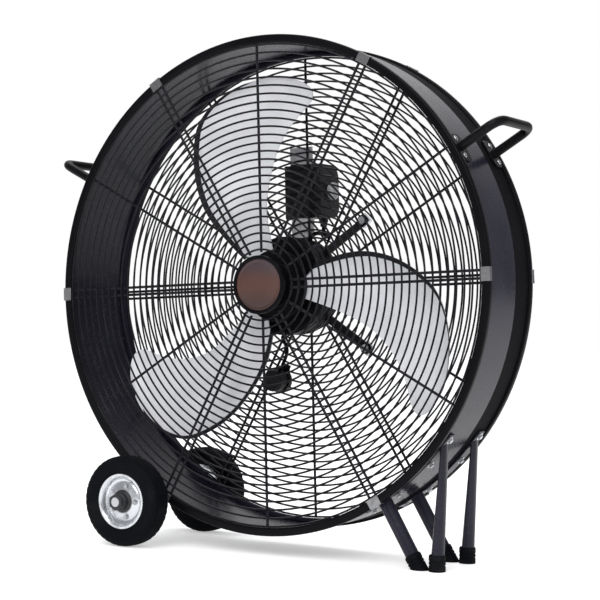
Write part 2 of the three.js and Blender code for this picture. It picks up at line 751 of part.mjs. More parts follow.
/** A strap on the mounting ring with a cup that grips the capacitor. */
function capacitorClip() {
  const wide = STRAP_WIDTH / 2;
  const rear = strapFront + STRAP_PLATE;
  const from = rearRings()[1] - STRAP_END;
  const strap = swing(block(from, capacitorOrbit, strapFront, rear, -wide, wide), CAPACITOR_ANGLE);
  const inner = CAPACITOR_RADIUS + SEAT;
  const cup = ring(inner, inner + CLIP_WALL, rear - CLIP_LENGTH, strapFront + WELD, 20);
  return join(strap, cup.translate(canCentre.x, 0, canCentre.z));
}

function capacitorLead() {
  const startY = housingRear - 12;
  const endY = canRear - CAPACITOR_LENGTH / 2 - 7;
  const start = CAPACITOR_ANGLE + 8;
  const side = (away) => onCircle(CAPACITOR_RADIUS + away, CAN_ENTRY_ANGLE, endY).add(canCentre);
  const points = [
    onCircle(MOTOR_RADIUS + 2 * SEAT, start, startY),
    onCircle(MOTOR_RADIUS + 4, start, startY),
    onCircle(MOTOR_RADIUS + 8, start, startY),
    onCircle(MOTOR_RADIUS + 30, start + 1, (startY + endY) / 2),
    side(6),
    side(3),
    side(SEAT),
  ];
  return tube(new THREE.CatmullRomCurve3(points), CAPACITOR_LEAD, 6, 12);
}

// ---------------------------------------------------------------- handles

/** A bent tube handle with two flat feet that lie on the drum. */
function handle(degrees) {
  const side = handleSide;
  const straight = gripRadius - HANDLE_BEND;
  const point = (x, y) => new THREE.Vector3(x, y, 0);
  const path = new THREE.CurvePath();
  path.add(new THREE.LineCurve3(point(wallInner - 4, -side), point(straight, -side)));
  path.add(
    new THREE.QuadraticBezierCurve3(
      point(straight, -side),
      point(gripRadius, -side),
      point(gripRadius, -side + HANDLE_BEND),
    ),
  );
  path.add(
    new THREE.LineCurve3(
      point(gripRadius, -side + HANDLE_BEND),
      point(gripRadius, side - HANDLE_BEND),
    ),
  );
  path.add(
    new THREE.QuadraticBezierCurve3(
      point(gripRadius, side - HANDLE_BEND),
      point(gripRadius, side),
      point(straight, side),
    ),
  );
  path.add(new THREE.LineCurve3(point(straight, side), point(wallInner - 4, side)));
  const parts = [tube(path, HANDLE_TUBE, 8, 24)];
  const footTop = wallOuter + SEAT + HANDLE_FOOT_PLATE;
  const wide = HANDLE_TUBE + HANDLE_FOOT_EDGE;
  const long = HANDLE_FOOT_LENGTH / 2;
  for (const y of [-side, side]) {
    parts.push(block(wallInner - 2, footTop, y - wide, y + wide, -long, long));
  }
  return cut(swing(join(...parts), degrees), wallTool());
}

// ---------------------------------------------------------------- wheels

function tyre() {
  const bead = WHEEL_RIM_RADIUS + SEAT;
  const side = TYRE_WIDTH / 2;
  const outline = [
    [bead, -side + TYRE_BEAD],
    [bead + TYRE_BEAD, -side],
    [TYRE_RADIUS - TYRE_SHOULDER, -side],
    [TYRE_RADIUS, -side + TYRE_SHOULDER],
    [TYRE_RADIUS, side - TYRE_SHOULDER],
    [TYRE_RADIUS - TYRE_SHOULDER, side],
    [bead + TYRE_BEAD, side],
    [bead, side - TYRE_BEAD],
  ];
  return turned(outline, WHEEL_FACETS);
}

/** A pressed wheel whose web stands near its outer side, the side away from the drum. */
function wheelRim(side) {
  const bore = AXLE_RADIUS + RUNNING;
  const hub = WHEEL_HUB_LENGTH / 2;
  const edge = WHEEL_RIM_WIDTH / 2;
  const inside = WHEEL_RIM_RADIUS - WHEEL_RIM_WALL;
  const webOuter = edge / 2;
  const webInner = webOuter - WHEEL_WEB;
  const outline = [
    [bore, hub],
    [WHEEL_HUB, hub],
    [WHEEL_HUB, webOuter + 3],
    [inside - 6, webOuter],
    [inside, edge],
    [WHEEL_RIM_RADIUS, edge],
    [WHEEL_RIM_RADIUS, -edge],
    [inside, -edge],
    [inside, webInner],
    [WHEEL_HUB, webInner],
    [WHEEL_HUB, -hub],
    [bore, -hub],
  ];
  return turned(outline.map(([radius, y]) => [radius, side * y]), WHEEL_FACETS);
}

function axle() {
  return ring(0, AXLE_RADIUS, -axleEnd, axleEnd, 16);
}

function axleNut(side) {
  const inner = side * (wheelOuterY + SEAT);
  const outer = inner + side * AXLE_NUT_WIDTH;
  const nut = bar(new THREE.Vector3(0, inner, 0), new THREE.Vector3(0, outer, 0), AXLE_NUT_RADIUS, 6);
  return cut(nut, ring(0, AXLE_RADIUS + SEAT, -axleEnd - 1, axleEnd + 1, 16));
}

function axleSpacer(side) {
  const inner = AXLE_WEB_Y + AXLE_WEB / 2 + SEAT;
  const outer = wheelInnerY - SEAT;
  const bore = AXLE_RADIUS + SEAT;
  const y0 = Math.min(side * inner, side * outer);
  return ring(bore, bore + SPACER_WALL, y0, y0 + outer - inner, 16);
}

/** A web that stands on the drum and carries the axle, with a foot bent round the drum. */
function axleBracket(side) {
  const degrees = THREE.MathUtils.radToDeg(Math.atan2(wheelZ, wheelX));
  const y0 = side * AXLE_WEB_Y - AXLE_WEB / 2;
  const y1 = y0 + AXLE_WEB;
  const shape = new THREE.Shape();
  shape.moveTo(wallInner - 6, -AXLE_WEB_FOOT);
  shape.lineTo(axleRadius, -AXLE_BOSS);
  shape.absarc(axleRadius, 0, AXLE_BOSS, -Math.PI / 2, Math.PI / 2, false);
  shape.lineTo(wallInner - 6, AXLE_WEB_FOOT);
  shape.closePath();
  const web = swing(standing(shape, y0, y1), degrees);
  const middle = (y0 + y1) / 2;
  const foot = wallPad(degrees, PAD_HALF_ANGLE, middle - PAD_WIDTH / 2, middle + PAD_WIDTH / 2);
  const bore = ring(0, AXLE_RADIUS + SEAT, y0 - 1, y1 + 1, 16).translate(wheelX, 0, wheelZ);
  return cut(join(web, foot), wallTool(DRUM_ROLL), bore);
}

// ---------------------------------------------------------------- legs

/** The straight line of one leg tube, from its foot on the floor to the drum's wall. */
function legLine(kind, y) {
  const wallPoint = onCircle(wallOuter, kind === 'upright' ? LEG_UPRIGHT_ANGLE : LEG_SLANT_ANGLE, y);
  const footX = kind === 'upright' ? wallPoint.x : uprightX - LEG_FEET_APART;
  const foot = new THREE.Vector3(footX, y, floorZ);
  const direction = wallPoint.clone().sub(foot).normalize();
  return { foot, wallPoint, direction };
}

/** A length of a leg's line, by the distances from its foot and from the drum's wall. */
function legBar(kind, y, belowFoot, pastWall, radius) {
  const line = legLine(kind, y);
  const from = line.foot.clone().addScaledVector(line.direction, -belowFoot);
  const to = line.wallPoint.clone().addScaledVector(line.direction, pastWall);
  return bar(from, to, radius, LEG_FACETS);
}

/** Everything above a height over the floor. */
function above(height) {
  const wide = 2 * DRUM_RADIUS;
  return block(-wide, wide, -wide, wide, floorZ + height, wide);
}

/** Two leg tubes, welded to one plate that is bent round the drum. */
function legFrame(side) {
  const y = side * LEG_Y;
  const middleAngle = (LEG_UPRIGHT_ANGLE + LEG_SLANT_ANGLE) / 2;
  const halfAngle = (LEG_UPRIGHT_ANGLE - LEG_SLANT_ANGLE) / 2 + PAD_HALF_ANGLE;
  const parts = [wallPad(middleAngle, halfAngle, y - PAD_WIDTH / 2, y + PAD_WIDTH / 2)];
  for (const kind of ['upright', 'slanted']) {
    const outside = legBar(kind, y, 2 * LEG_RADIUS, 2 * LEG_RADIUS, LEG_RADIUS);
    const bore = legBar(kind, y, 3 * LEG_RADIUS, -2 * PAD_PLATE, LEG_RADIUS - LEG_WALL);
    parts.push(cut(outside, bore));
  }
  return common(cut(join(...parts), wallTool(DRUM_ROLL)), above(CAP_SOLE + SEAT));
}

/** A rubber cap over a leg's end, flat where it stands on the floor. */
function footCap(kind, side) {
  const y = side * LEG_Y;
  const line = legLine(kind, y);
  const below = line.foot.clone().addScaledVector(line.direction, -2 * LEG_RADIUS);
  const up = line.foot.clone().addScaledVector(line.direction, CAP_HEIGHT);
  const over = line.foot.clone().addScaledVector(line.direction, 2 * CAP_HEIGHT);
  const outside = bar(below, up, LEG_RADIUS + SEAT + CAP_WALL, LEG_FACETS);
  const inside = common(bar(below, over, LEG_RADIUS + SEAT, LEG_FACETS), above(CAP_SOLE));
  return cut(common(outside, above(0)), inside);
}

// ---------------------------------------------------------------- assembly

const BLACK = { color: 0x141518, roughness: 0.45, metalness: 0.2 };
const SLATE = { color: 0x3a3b45, roughness: 0.4, metalness: 0.25 };
const WIRE_GREY = { color: 0x8d8f92, roughness: 0.35, metalness: 0.7 };
const SILVER = { color: 0xc9cbce, roughness: 0.32, metalness: 0.85 };
const STEEL = { color: 0x9a9c9e, roughness: 0.35, metalness: 0.9 };
const COPPER = { color: 0xa5673a, roughness: 0.45, metalness: 0.8 };
const RUBBER = { color: 0x0e0e0f, roughness: 0.85, metalness: 0 };
const PLASTIC = { color: 0x1c1d20, roughness: 0.55, metalness: 0 };
const PALE_PLASTIC = { color: 0x8b8d90, roughness: 0.5, metalness: 0 };
const BADGE_RED = { color: 0x8a4632, roughness: 0.5, metalness: 0.1 };

const fan = new THREE.Group();
const drum = new THREE.Group();
drum.rotation.y = -rad(DRUM_ROLL);
fan.add(drum);

function piece(parent, name, geometry, finish, x = 0, y = 0, z = 0) {
  const mesh = new THREE.Mesh(geometry, new THREE.MeshStandardMaterial(finish));
  mesh.name = name;
  mesh.position.set(x, y, z);
  parent.add(mesh);
}

piece(drum, 'drum_shell', drumShell(), SLATE);
piece(drum, 'front_rim', edgeRim(-1), BLACK);
piece(drum, 'rear_rim', edgeRim(1), BLACK);
piece(drum, 'front_guard', wireGuard(-1, frontRings()), WIRE_GREY);
piece(drum, 'rear_guard', wireGuard(1, rearRings()), WIRE_GREY);
piece(drum, 'badge_plate', badgePlate(), BLACK);
piece(drum, 'badge_disc', badgeDisc(), BADGE_RED);

piece(drum, 'motor_front_bell', motorBell(MOTOR_FRONT, 1), BLACK);
piece(drum, 'motor_housing', motorHousing(), BLACK);
piece(drum, 'motor_rear_bell', motorBell(rearBellFace, -1), BLACK);
piece(drum, 'stator_core', statorCore(), STEEL);
piece(drum, 'front_winding', winding(coreFront - SEAT - WINDING_LENGTH), COPPER);
piece(drum, 'rear_winding', winding(coreFront + CORE_LENGTH + SEAT), COPPER);
piece(drum, 'rotor', rotor(), STEEL);
piece(drum, 'motor_shaft', motorShaft(), STEEL);
piece(drum, 'front_bearing', bearing(MOTOR_FRONT + BEARING_STOP + SEAT), STEEL);
piece(drum, 'rear_bearing', bearing(rearBellFace - BEARING_STOP - SEAT - BEARING_WIDTH), STEEL);
piece(drum, 'motor_mount', motorMount(), BLACK);
for (let arm = 0; arm < 4; arm += 1) {
  piece(drum, `mount_bolt_${arm + 1}`, mountBolt(45 + 90 * arm), STEEL);
}

piece(drum, 'fan_hub', fanHub(), BLACK);
piece(drum, 'hub_nut', hubNut(), STEEL);
for (let n = 0; n < BLADES; n += 1) {
  piece(drum, `blade_${n + 1}`, blade((360 * n) / BLADES), SILVER);
}

piece(drum, 'box_bracket', boxBracket(), STEEL);
piece(drum, 'control_box_base', boxBase(), PLASTIC);
piece(drum, 'control_box_cover', boxCover(), PLASTIC);
piece(drum, 'rotary_switch', rotarySwitch(), PLASTIC);
piece(drum, 'switch_spindle', switchSpindle(), STEEL);
piece(drum, 'dial_plate', dialPlate(), PLASTIC);
piece(drum, 'speed_knob', speedKnob(), PALE_PLASTIC);
piece(drum, 'lead_gland', gland(BOX_X + GLAND_SPREAD), PLASTIC);
piece(drum, 'cord_gland', gland(BOX_X - GLAND_SPREAD), PLASTIC);
piece(drum, 'motor_lead', motorLead(), RUBBER);
piece(drum, 'capacitor', capacitor(), PLASTIC);
piece(drum, 'capacitor_clip', capacitorClip(), BLACK);
piece(drum, 'capacitor_lead', capacitorLead(), RUBBER);

piece(drum, 'right_handle', handle(HANDLE_ANGLE), BLACK);
piece(drum, 'left_handle', handle(180 - HANDLE_ANGLE), BLACK);

piece(fan, 'axle', axle(), STEEL, wheelX, 0, wheelZ);
for (const [place, side] of [['front', -1], ['rear', 1]]) {
  const wheelY = side * WHEEL_Y;
  piece(fan, `${place}_axle_bracket`, axleBracket(side), BLACK);
  piece(fan, `${place}_axle_spacer`, axleSpacer(side), STEEL, wheelX, 0, wheelZ);
  piece(fan, `${place}_wheel_rim`, wheelRim(side), SILVER, wheelX, wheelY, wheelZ);
  piece(fan, `${place}_tyre`, tyre(), RUBBER, wheelX, wheelY, wheelZ);
  piece(fan, `${place}_axle_nut`, axleNut(side), STEEL, wheelX, 0, wheelZ);
  piece(fan, `${place}_leg_frame`, legFrame(side), SLATE);
  piece(fan, `${place}_upright_foot`, footCap('upright', side), RUBBER);
  piece(fan, `${place}_slanted_foot`, footCap('slanted', side), RUBBER);
}

fan.updateMatrixWorld(true);
const bounds = new THREE.Box3().setFromObject(fan, true);
const middle = bounds.getCenter(new THREE.Vector3());
fan.position.set(-middle.x, -middle.y, -bounds.min.z);
fan.updateMatrixWorld(true);

export default fan;
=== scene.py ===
"""Dresses the drum fan: the visible pieces, their finishes, and a plain studio round them."""

import json
import math

import bmesh
import bpy
from mathutils import Matrix, Vector


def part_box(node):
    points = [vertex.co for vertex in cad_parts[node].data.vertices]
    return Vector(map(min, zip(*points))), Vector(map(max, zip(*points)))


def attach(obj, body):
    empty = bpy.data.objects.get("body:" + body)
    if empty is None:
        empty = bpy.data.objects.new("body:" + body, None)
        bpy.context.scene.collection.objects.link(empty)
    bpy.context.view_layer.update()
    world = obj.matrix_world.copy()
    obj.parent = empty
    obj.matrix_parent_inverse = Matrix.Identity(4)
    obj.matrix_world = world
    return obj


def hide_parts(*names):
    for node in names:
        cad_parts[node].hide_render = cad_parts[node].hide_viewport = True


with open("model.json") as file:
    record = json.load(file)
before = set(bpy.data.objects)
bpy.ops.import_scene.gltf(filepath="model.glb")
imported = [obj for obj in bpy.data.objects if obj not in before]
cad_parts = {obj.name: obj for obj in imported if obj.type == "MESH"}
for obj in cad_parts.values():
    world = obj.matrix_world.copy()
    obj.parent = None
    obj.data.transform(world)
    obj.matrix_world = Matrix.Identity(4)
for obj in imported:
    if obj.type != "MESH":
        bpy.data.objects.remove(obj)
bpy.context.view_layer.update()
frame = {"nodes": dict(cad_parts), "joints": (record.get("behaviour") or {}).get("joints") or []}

bl_info = {
    "name": "Drum fan",
    "version": (1, 0, 0),
    "blender": (4, 5, 0),
    "location": "3D View > Sidebar > Drum fan",
    "description": "Builds the pieces of a wheeled drum fan round its frame, with their finishes",
    "category": "Object",
}

# ------------------------------------------------------------------ places from the frame

JOINTS = {joint["name"]: joint for joint in frame["joints"]}
FAN_AXIS = Vector(JOINTS["fan_spin"]["pos_m"])
KNOB_AXIS = Vector(JOINTS["speed_knob"]["axis"])
DRUM_ROLL = math.atan2(KNOB_AXIS.z, KNOB_AXIS.x)
# Pieces of the drum are drawn about its axis, the line x = z = 0 along Y, and this puts them in place.
IN_DRUM = Matrix.Translation(FAN_AXIS) @ Matrix.Rotation(-DRUM_ROLL, 4, "Y")
TO_DRUM = IN_DRUM.inverted()
KNOB_CENTRE = TO_DRUM @ Vector(JOINTS["speed_knob"]["pos_m"])
# Each side of the drum, and which way along Y it faces.
SIDES = (("front", -1), ("rear", 1))
# The gap that touching pieces keep, and the distance under which two points become one.
CLEARANCE = 0.0003
SAME_POINT = 0.000002
# Steps round a turned piece, and round the drum's wall and rims.
TURN_STEPS = 96
RIM_STEPS = 240
WHITE = (1.0, 1.0, 1.0, 1.0)


def span(node, axis):
    """The lowest and highest coordinate of a node along an axis, in the frame."""
    low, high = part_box(node)
    return low[axis], high[axis]


def half_width(node, axis=0):
    """Half of a node's length along an axis."""
    low, high = span(node, axis)
    return (high - low) / 2


def middle(node):
    """The middle of a node's box."""
    low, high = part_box(node)
    return (low + high) / 2


def from_axis(node):
    """How far the middle of a node lies from the drum's axis."""
    away = middle(node) - FAN_AXIS
    return math.hypot(away.x, away.z)


RIM_RADIUS = half_width("front_rim")
RIM_FACE = -span("front_rim", 1)[0]
RIM_DEPTH = 2 * half_width("front_rim", 1)
WALL_RADIUS = half_width("drum_shell")
# The outer face of the plates that lie on the wall, and the seat of the fasteners in them.
PLATE_RADIUS = WALL_RADIUS + 0.0038
FASTENER_RADIUS = PLATE_RADIUS - 0.0001
GUARD_RADIUS = half_width("front_guard")
GUARD_FACE = -span("front_guard", 1)[0]
MOUNT_RADIUS = from_axis("mount_bolt_1")
MOTOR_RADIUS = half_width("motor_housing")
BADGE_RADIUS = half_width("badge_plate")


# ------------------------------------------------------------------ what a user would change

def length(name, description, default):
    return bpy.props.FloatProperty(name=name, description=description, default=default, unit="LENGTH")


def number(name, description, default):
    return bpy.props.IntProperty(name=name, description=description, default=default)


def swatch(name, description, *rgb):
    return bpy.props.FloatVectorProperty(name=name, description=description, subtype="COLOR", default=rgb)


class DrumFanSizes(bpy.types.PropertyGroup):
    """Sizes of the drum fan's visible pieces"""

    sheet: length("Drum sheet", "Thickness of the rolled sheet", 0.002)
    rim_band: length("Rim band", "Radial width of an edge rim", 0.014)
    ring_wire: length("Ring wire", "Diameter of a guard's ring wires", 0.0034)
    rod_wire: length("Rod wire", "Diameter of a guard's straight rods", 0.0045)
    outer_rings: number("Outer ring gaps", "Gaps from the mounting ring to the rim", 18)
    inner_rings: number("Inner ring gaps", "Gaps from the mounting ring to the hub ring", 7)
    rod_gap: length("Rod gap", "Between the two rods of a pair", 0.0125)
    rods: number("Rod places", "Places round a guard, every other one with a pair", 12)
    blade_sheet: length("Blade sheet", "Thickness of a blade", 0.002)
    tube: length("Handle tube", "Radius of a handle's tube", 0.0075)
    leg_tube: length("Leg tube", "Radius of a leg's tube", 0.011)
    notches: number("Tyre notches", "Notches round a tyre's shoulder", 40)


class DrumFanColours(bpy.types.PropertyGroup):
    """Colours of the drum fan's finishes"""

    slate: swatch("Slate paint", "Drum and legs", 0.0155, 0.0148, 0.025)
    black: swatch("Black paint", "Rims, handles and motor", 0.0035, 0.0035, 0.0045)
    wire: swatch("Guard wire", "Rings and rods", 0.008, 0.008, 0.0105)
    blade: swatch("Blade metal", "Fan blades", 0.8, 0.8, 0.83)
    badge: swatch("Badge", "Plain disc of the badge", 0.07, 0.025, 0.017)
    steel: swatch("Bright steel", "Bolts, nuts and axle", 0.55, 0.56, 0.58)
    knob: swatch("Knob", "Speed knob", 0.42, 0.43, 0.44)
    rubber: swatch("Rubber", "Tyres, foot caps and leads", 0.003, 0.0035, 0.005)
    floor: swatch("Floor", "Floor under the fan", 0.9, 0.9, 0.9)


def sizes():
    return bpy.context.scene.drum_fan_sizes


def colour(name):
    return tuple(getattr(bpy.context.scene.drum_fan_colours, name)) + (1.0,)


def shade(rgba, factor):
    """The colour made darker or lighter by a factor."""
    return tuple(min(1.0, part * factor) for part in rgba[:3]) + (1.0,)


# ------------------------------------------------------------------ shader maths

class Wire:
    """An output socket of a finish. Arithmetic on it adds the Math nodes."""

    def __init__(self, finish, socket):
        self.finish = finish
        self.socket = socket

    def __add__(self, other):
        return self.finish.math("ADD", self, other)

    def __sub__(self, other):
        return self.finish.math("SUBTRACT", self, other)

    def __rsub__(self, other):
        return self.finish.math("SUBTRACT", other, self)

    def __mul__(self, other):
        return self.finish.math("MULTIPLY", self, other)

    __radd__ = __add__
    __rmul__ = __mul__


class Finish:
    """A material that is being made, and the shader that everything in it feeds."""

    def __init__(self, name):
        self.material = bpy.data.materials.new(name)
        self.material.use_nodes = True
        self.tree = self.material.node_tree
        self.shader = self.tree.nodes["Principled BSDF"]

    def node(self, kind, settings=None, sockets=None, output=0):
        """Adds a node: its settings first, then the values or links of its sockets."""
        made = self.tree.nodes.new(kind)
        for key, value in (settings or {}).items():
            setattr(made, key, value)
        for key, value in (sockets or {}).items():
            self.feed(made.inputs[key], value)
        return Wire(self, made.outputs[output])

    def feed(self, socket, value):
        if isinstance(value, Wire):
            self.tree.links.new(value.socket, socket)
        else:
            socket.default_value = value

    def math(self, operation, first, second):
        return self.node("ShaderNodeMath", {"operation": operation}, {0: first, 1: second})

    def place(self, stretch=(1, 1, 1)):
        """The surface point in metres, stretched along the axes."""
        point = self.node("ShaderNodeTexCoord", output=3)
        return self.node("ShaderNodeMapping", None, {"Vector": point, "Scale": stretch})

    def noise(self, scale, detail=3.0, stretch=(1, 1, 1)):
        sockets = {"Vector": self.place(stretch), "Scale": scale, "Detail": detail}
        return self.node("ShaderNodeTexNoise", None, sockets)

    def band(self, value, low, high):
        """Runs smoothly from 0 to 1 as the value goes from low to high."""
        sockets = {"Value": value, "From Min": low, "From Max": high}
        return self.node("ShaderNodeMapRange", {"interpolation_type": "SMOOTHSTEP"}, sockets)

    def blend(self, factor, first, second):
        return self.node("ShaderNodeMix", {"data_type": "RGBA"}, {0: factor, 6: first, 7: second}, 2)

    def bump(self, height, depth):
        return self.node("ShaderNodeBump", None, {"Height": height, "Distance": depth, "Strength": 1.0})

    def along(self, axis):
        """The surface point's place along one axis, in metres."""
        return self.node("ShaderNodeSeparateXYZ", None, {0: self.place()}, axis)

    def from_line(self, point):
        """How far the surface point lies from the line along Y through a point."""
        away = self.node("ShaderNodeVectorMath", {"operation": "SUBTRACT"}, {0: self.place(), 1: point})
        flat = self.node("ShaderNodeVectorMath", {"operation": "MULTIPLY"}, {0: away, 1: (1.0, 0.0, 1.0)})
        return self.node("ShaderNodeVectorMath", {"operation": "LENGTH"}, {0: flat}, 1)

    def surface(self, **sockets):
        """Feeds the shader: base_color becomes the socket Base Color, and so on."""
        for key, value in sockets.items():
            name = key.replace("_", " ").title().replace("Ior", "IOR")
            self.feed(self.shader.inputs[name], value)
        return self.material


class Surroundings(Finish):
    """The world round the fan, made in the same way as a finish."""

    def __init__(self, name):
        world = bpy.data.worlds.new(name)
        world.use_nodes = True
        bpy.context.scene.world = world
        self.tree = world.node_tree
        self.shader = self.tree.nodes["Background"]


MADE = {}


def finish(maker):
    """Makes each finish once, the first time that a piece asks for it."""
    def once():
        if maker.__name__ not in MADE:
            MADE[maker.__name__] = maker()
        return MADE[maker.__name__]
    once.__name__ = maker.__name__
    return once


# ------------------------------------------------------------------ finishes

def sprayed(name, base, roughness, peel, gloss):
    """Sprayed paint on steel: faint clouds, orange peel and a little dust in the grain."""
    paint = Finish(name)
    clouds = paint.band(paint.noise(7.0, 4.0), 0.35, 0.68)
    dust = paint.band(paint.noise(160.0, 5.0), 0.56, 0.74)
    tint = paint.blend(clouds, shade(base, 0.75), shade(base, 1.25))
    dusty = paint.blend(dust * 0.03, tint, (0.2, 0.2, 0.2, 1.0))
    skin = paint.noise(900.0, 2.0)
    return paint.surface(
        base_color=dusty,
        roughness=roughness + clouds * 0.07 + dust * 0.1,
        specular_ior_level=gloss,
        normal=paint.bump(skin, peel),
    )


@finish
def slate_paint():
    return sprayed("slate_paint", colour("slate"), 0.22, 0.00001, 0.2)


@finish
def black_paint():
    return sprayed("black_paint", colour("black"), 0.36, 0.00005, 0.1)


@finish
def band_paint():
    """Matt black round the rear of the drum."""
    return sprayed("band_paint", shade(colour("black"), 1.4), 0.7, 0.00008, 0.06)


@finish
def pressed_hem():
    """Painted shade: a dark strip along a blade's swept edge, where the curling sheet turns away from the
    light.
    """
    return sprayed("pressed_hem", shade(colour("black"), 2.5), 0.5, 0.00004, 0.2)


@finish
def rim_paint():
    """Black outside; inside the drum the rim is as slate as the wall."""
    paint = Finish("rim_paint")
    radius = paint.from_line((0.0, 0.0, FAN_AXIS.z))
    rearward = paint.band(paint.along(1), 0.0, 0.02)
    inside = paint.band(radius, WALL_RADIUS - 0.003, WALL_RADIUS - 0.005) * rearward
    clouds = paint.band(paint.noise(7.0, 4.0), 0.35, 0.68)
    black = paint.blend(clouds, shade(colour("black"), 0.8), shade(colour("black"), 1.2))
    return paint.surface(
        base_color=paint.blend(inside, black, colour("slate")),
        roughness=0.3 + clouds * 0.07,
        specular_ior_level=0.07,
        normal=paint.bump(paint.noise(900.0, 2.0), 0.00001),
    )


@finish
def guard_wire():
    """Coated wire, a little brighter where the coat is thin."""
    wire = Finish("guard_wire")
    base = colour("wire")
    thin = wire.band(wire.noise(60.0, 4.0), 0.45, 0.7)
    return wire.surface(
        base_color=wire.blend(thin, base, shade(base, 1.8)),
        specular_ior_level=0.15,
        roughness=0.34 + thin * 0.12,
        normal=wire.bump(wire.noise(700.0, 2.0), 0.00004),
    )


@finish
def blade_metal():
    """Rolled aluminium: long faint streaks and soft smudges."""
    metal = Finish("blade_metal")
    base = colour("blade")
    streaks = metal.noise(55.0, 5.0, (1.0, 0.2, 9.0))
    smudges = metal.band(metal.noise(11.0, 4.0), 0.4, 0.7)
    tint = metal.blend(smudges, base, shade(base, 0.86))
    return metal.surface(
        base_color=tint,
        metallic=0.12,
        roughness=0.36 + streaks * 0.14 + smudges * 0.08,
        normal=metal.bump(streaks, 0.00005),
    )


@finish
def badge_face():
    """A plain moulded disc, warm across its middle and duller towards its edges."""
    face = Finish("badge_face")
    base = colour("badge")
    mottle = face.noise(48.0, 4.0)
    height = face.along(2)
    low = face.band(height, FAN_AXIS.z - 0.004, FAN_AXIS.z - 0.034)
    high = face.band(height, FAN_AXIS.z + 0.006, FAN_AXIS.z + 0.03)
    warm = face.blend(low, base, shade(base, 0.36))
    tint = face.blend(high, warm, (0.04, 0.026, 0.034, 1.0))
    return face.surface(
        base_color=face.blend(mottle * 0.5, tint, shade(base, 0.8)),
        roughness=0.42 + mottle * 0.12,
        normal=face.bump(face.noise(1200.0, 2.0), 0.00003),
    )


def tool_marks(metal):
    """Fine marks all over, and a few dull spots."""
    return metal.noise(240.0), metal.band(metal.noise(38.0, 4.0), 0.52, 0.72)


def plated(name, base, roughness):
    """Bright metal with tool marks."""
    metal = Finish(name)
    marks, spots = tool_marks(metal)
    return metal.surface(
        base_color=metal.blend(spots, base, shade(base, 0.62)),
        metallic=0.9,
        roughness=roughness + marks * 0.14 + spots * 0.12,
        normal=metal.bump(marks, 0.00004),
    )


@finish
def bright_steel():
    return plated("bright_steel", colour("steel"), 0.24)


@finish
def clip_zinc():
    return plated("clip_zinc", (0.3, 0.3, 0.31, 1.0), 0.22)


@finish
def bracket_metal():
    """Zinc plate, with painted shade: black over the height where the control box sits on it and shades it.
    """
    metal = Finish("bracket_metal")
    low, high = span("control_box_base", 2)
    height = metal.along(2)
    above = metal.band(height, low - 0.001, low + 0.002)
    # Painted shade: the part of the bracket behind the box turns black.
    behind = above * metal.band(height, high + 0.001, high - 0.002)
    bloom = metal.band(metal.noise(90.0, 4.0), 0.4, 0.7)
    zinc = metal.blend(bloom, (0.62, 0.62, 0.63, 1.0), (0.5, 0.5, 0.51, 1.0))
    return metal.surface(
        base_color=metal.blend(behind, zinc, colour("black")),
        metallic=0.5 - behind * 0.5,
        roughness=0.4 + bloom * 0.1 + behind * 0.1,
        specular_ior_level=0.3,
        normal=metal.bump(bloom, 0.00004),
    )


@finish
def wheel_metal():
    """A bright pressed rim with painted shade in its hollow hub: the hub and nut are dull and dark."""
    metal = Finish("wheel_metal")
    # Painted shade: within about 2 cm of the axle the metal turns dark and dull.
    hub = metal.band(metal.from_line(JOINTS["front_wheel_spin"]["pos_m"]), 0.022, 0.018)
    marks, spots = tool_marks(metal)
    bright = metal.blend(spots, (0.7, 0.72, 0.75, 1.0), (0.46, 0.47, 0.49, 1.0))
    return metal.surface(
        base_color=metal.blend(hub, bright, (0.03, 0.03, 0.034, 1.0)),
        metallic=0.85 - hub * 0.5,
        roughness=0.2 + marks * 0.14 + spots * 0.12 + hub * 0.2,
        normal=metal.bump(marks, 0.00004),
    )


@finish
def winding_wire():
    """Enamelled copper laid in fine turns."""
    copper = Finish("winding_wire")
    sockets = {"Vector": copper.place(), "Scale": 260.0, "Distortion": 1.4, "Detail": 1.0}
    turns = copper.node("ShaderNodeTexWave", {"bands_direction": "Y"}, sockets, 1)
    return copper.surface(
        base_color=copper.blend(turns, (0.2, 0.06, 0.02, 1.0), (0.62, 0.26, 0.1, 1.0)),
        metallic=0.8,
        roughness=0.35,
        normal=copper.bump(turns, 0.0003),
    )


def moulded(name, base, roughness, grain=0.00012):
    """Moulded plastic with a fine grain of pits."""
    plastic = Finish(name)
    pits = plastic.noise(1100.0)
    worn = plastic.band(plastic.noise(20.0, 4.0), 0.5, 0.75)
    return plastic.surface(
        base_color=plastic.blend(worn * 0.6, base, shade(base, 1.7)),
        roughness=roughness - worn * 0.08 + pits * 0.08,
        specular_ior_level=0.3,
        normal=plastic.bump(pits, grain),
    )


@finish
def box_plastic():
    return moulded("box_plastic", (0.011, 0.011, 0.012, 1.0), 0.52)


@finish
def knob_plastic():
    return moulded("knob_plastic", colour("knob"), 0.4, 0.00005)


@finish
def mark_paint():
    return moulded("mark_paint", (0.75, 0.75, 0.73, 1.0), 0.5, 0.00002)


def vulcanised(name, base, dusty):
    """Black rubber, greyed by dust where it is handled or meets the floor."""
    rubber = Finish(name)
    dust = rubber.band(rubber.noise(26.0, 5.0), 0.46, 0.76)
    pores = rubber.noise(700.0)
    return rubber.surface(
        base_color=rubber.blend(dust * dusty, base, (0.06, 0.058, 0.055, 1.0)),
        roughness=0.66 + dust * 0.2,
        specular_ior_level=0.06,
        normal=rubber.bump(pores, 0.00015),
    )


@finish
def tyre_rubber():
    return vulcanised("tyre_rubber", colour("rubber"), 0.12)


@finish
def foot_rubber():
    return vulcanised("foot_rubber", colour("rubber"), 0.2)


@finish
def lead_rubber():
    return vulcanised("lead_rubber", colour("rubber"), 0.1)


# ------------------------------------------------------------------ mesh helpers

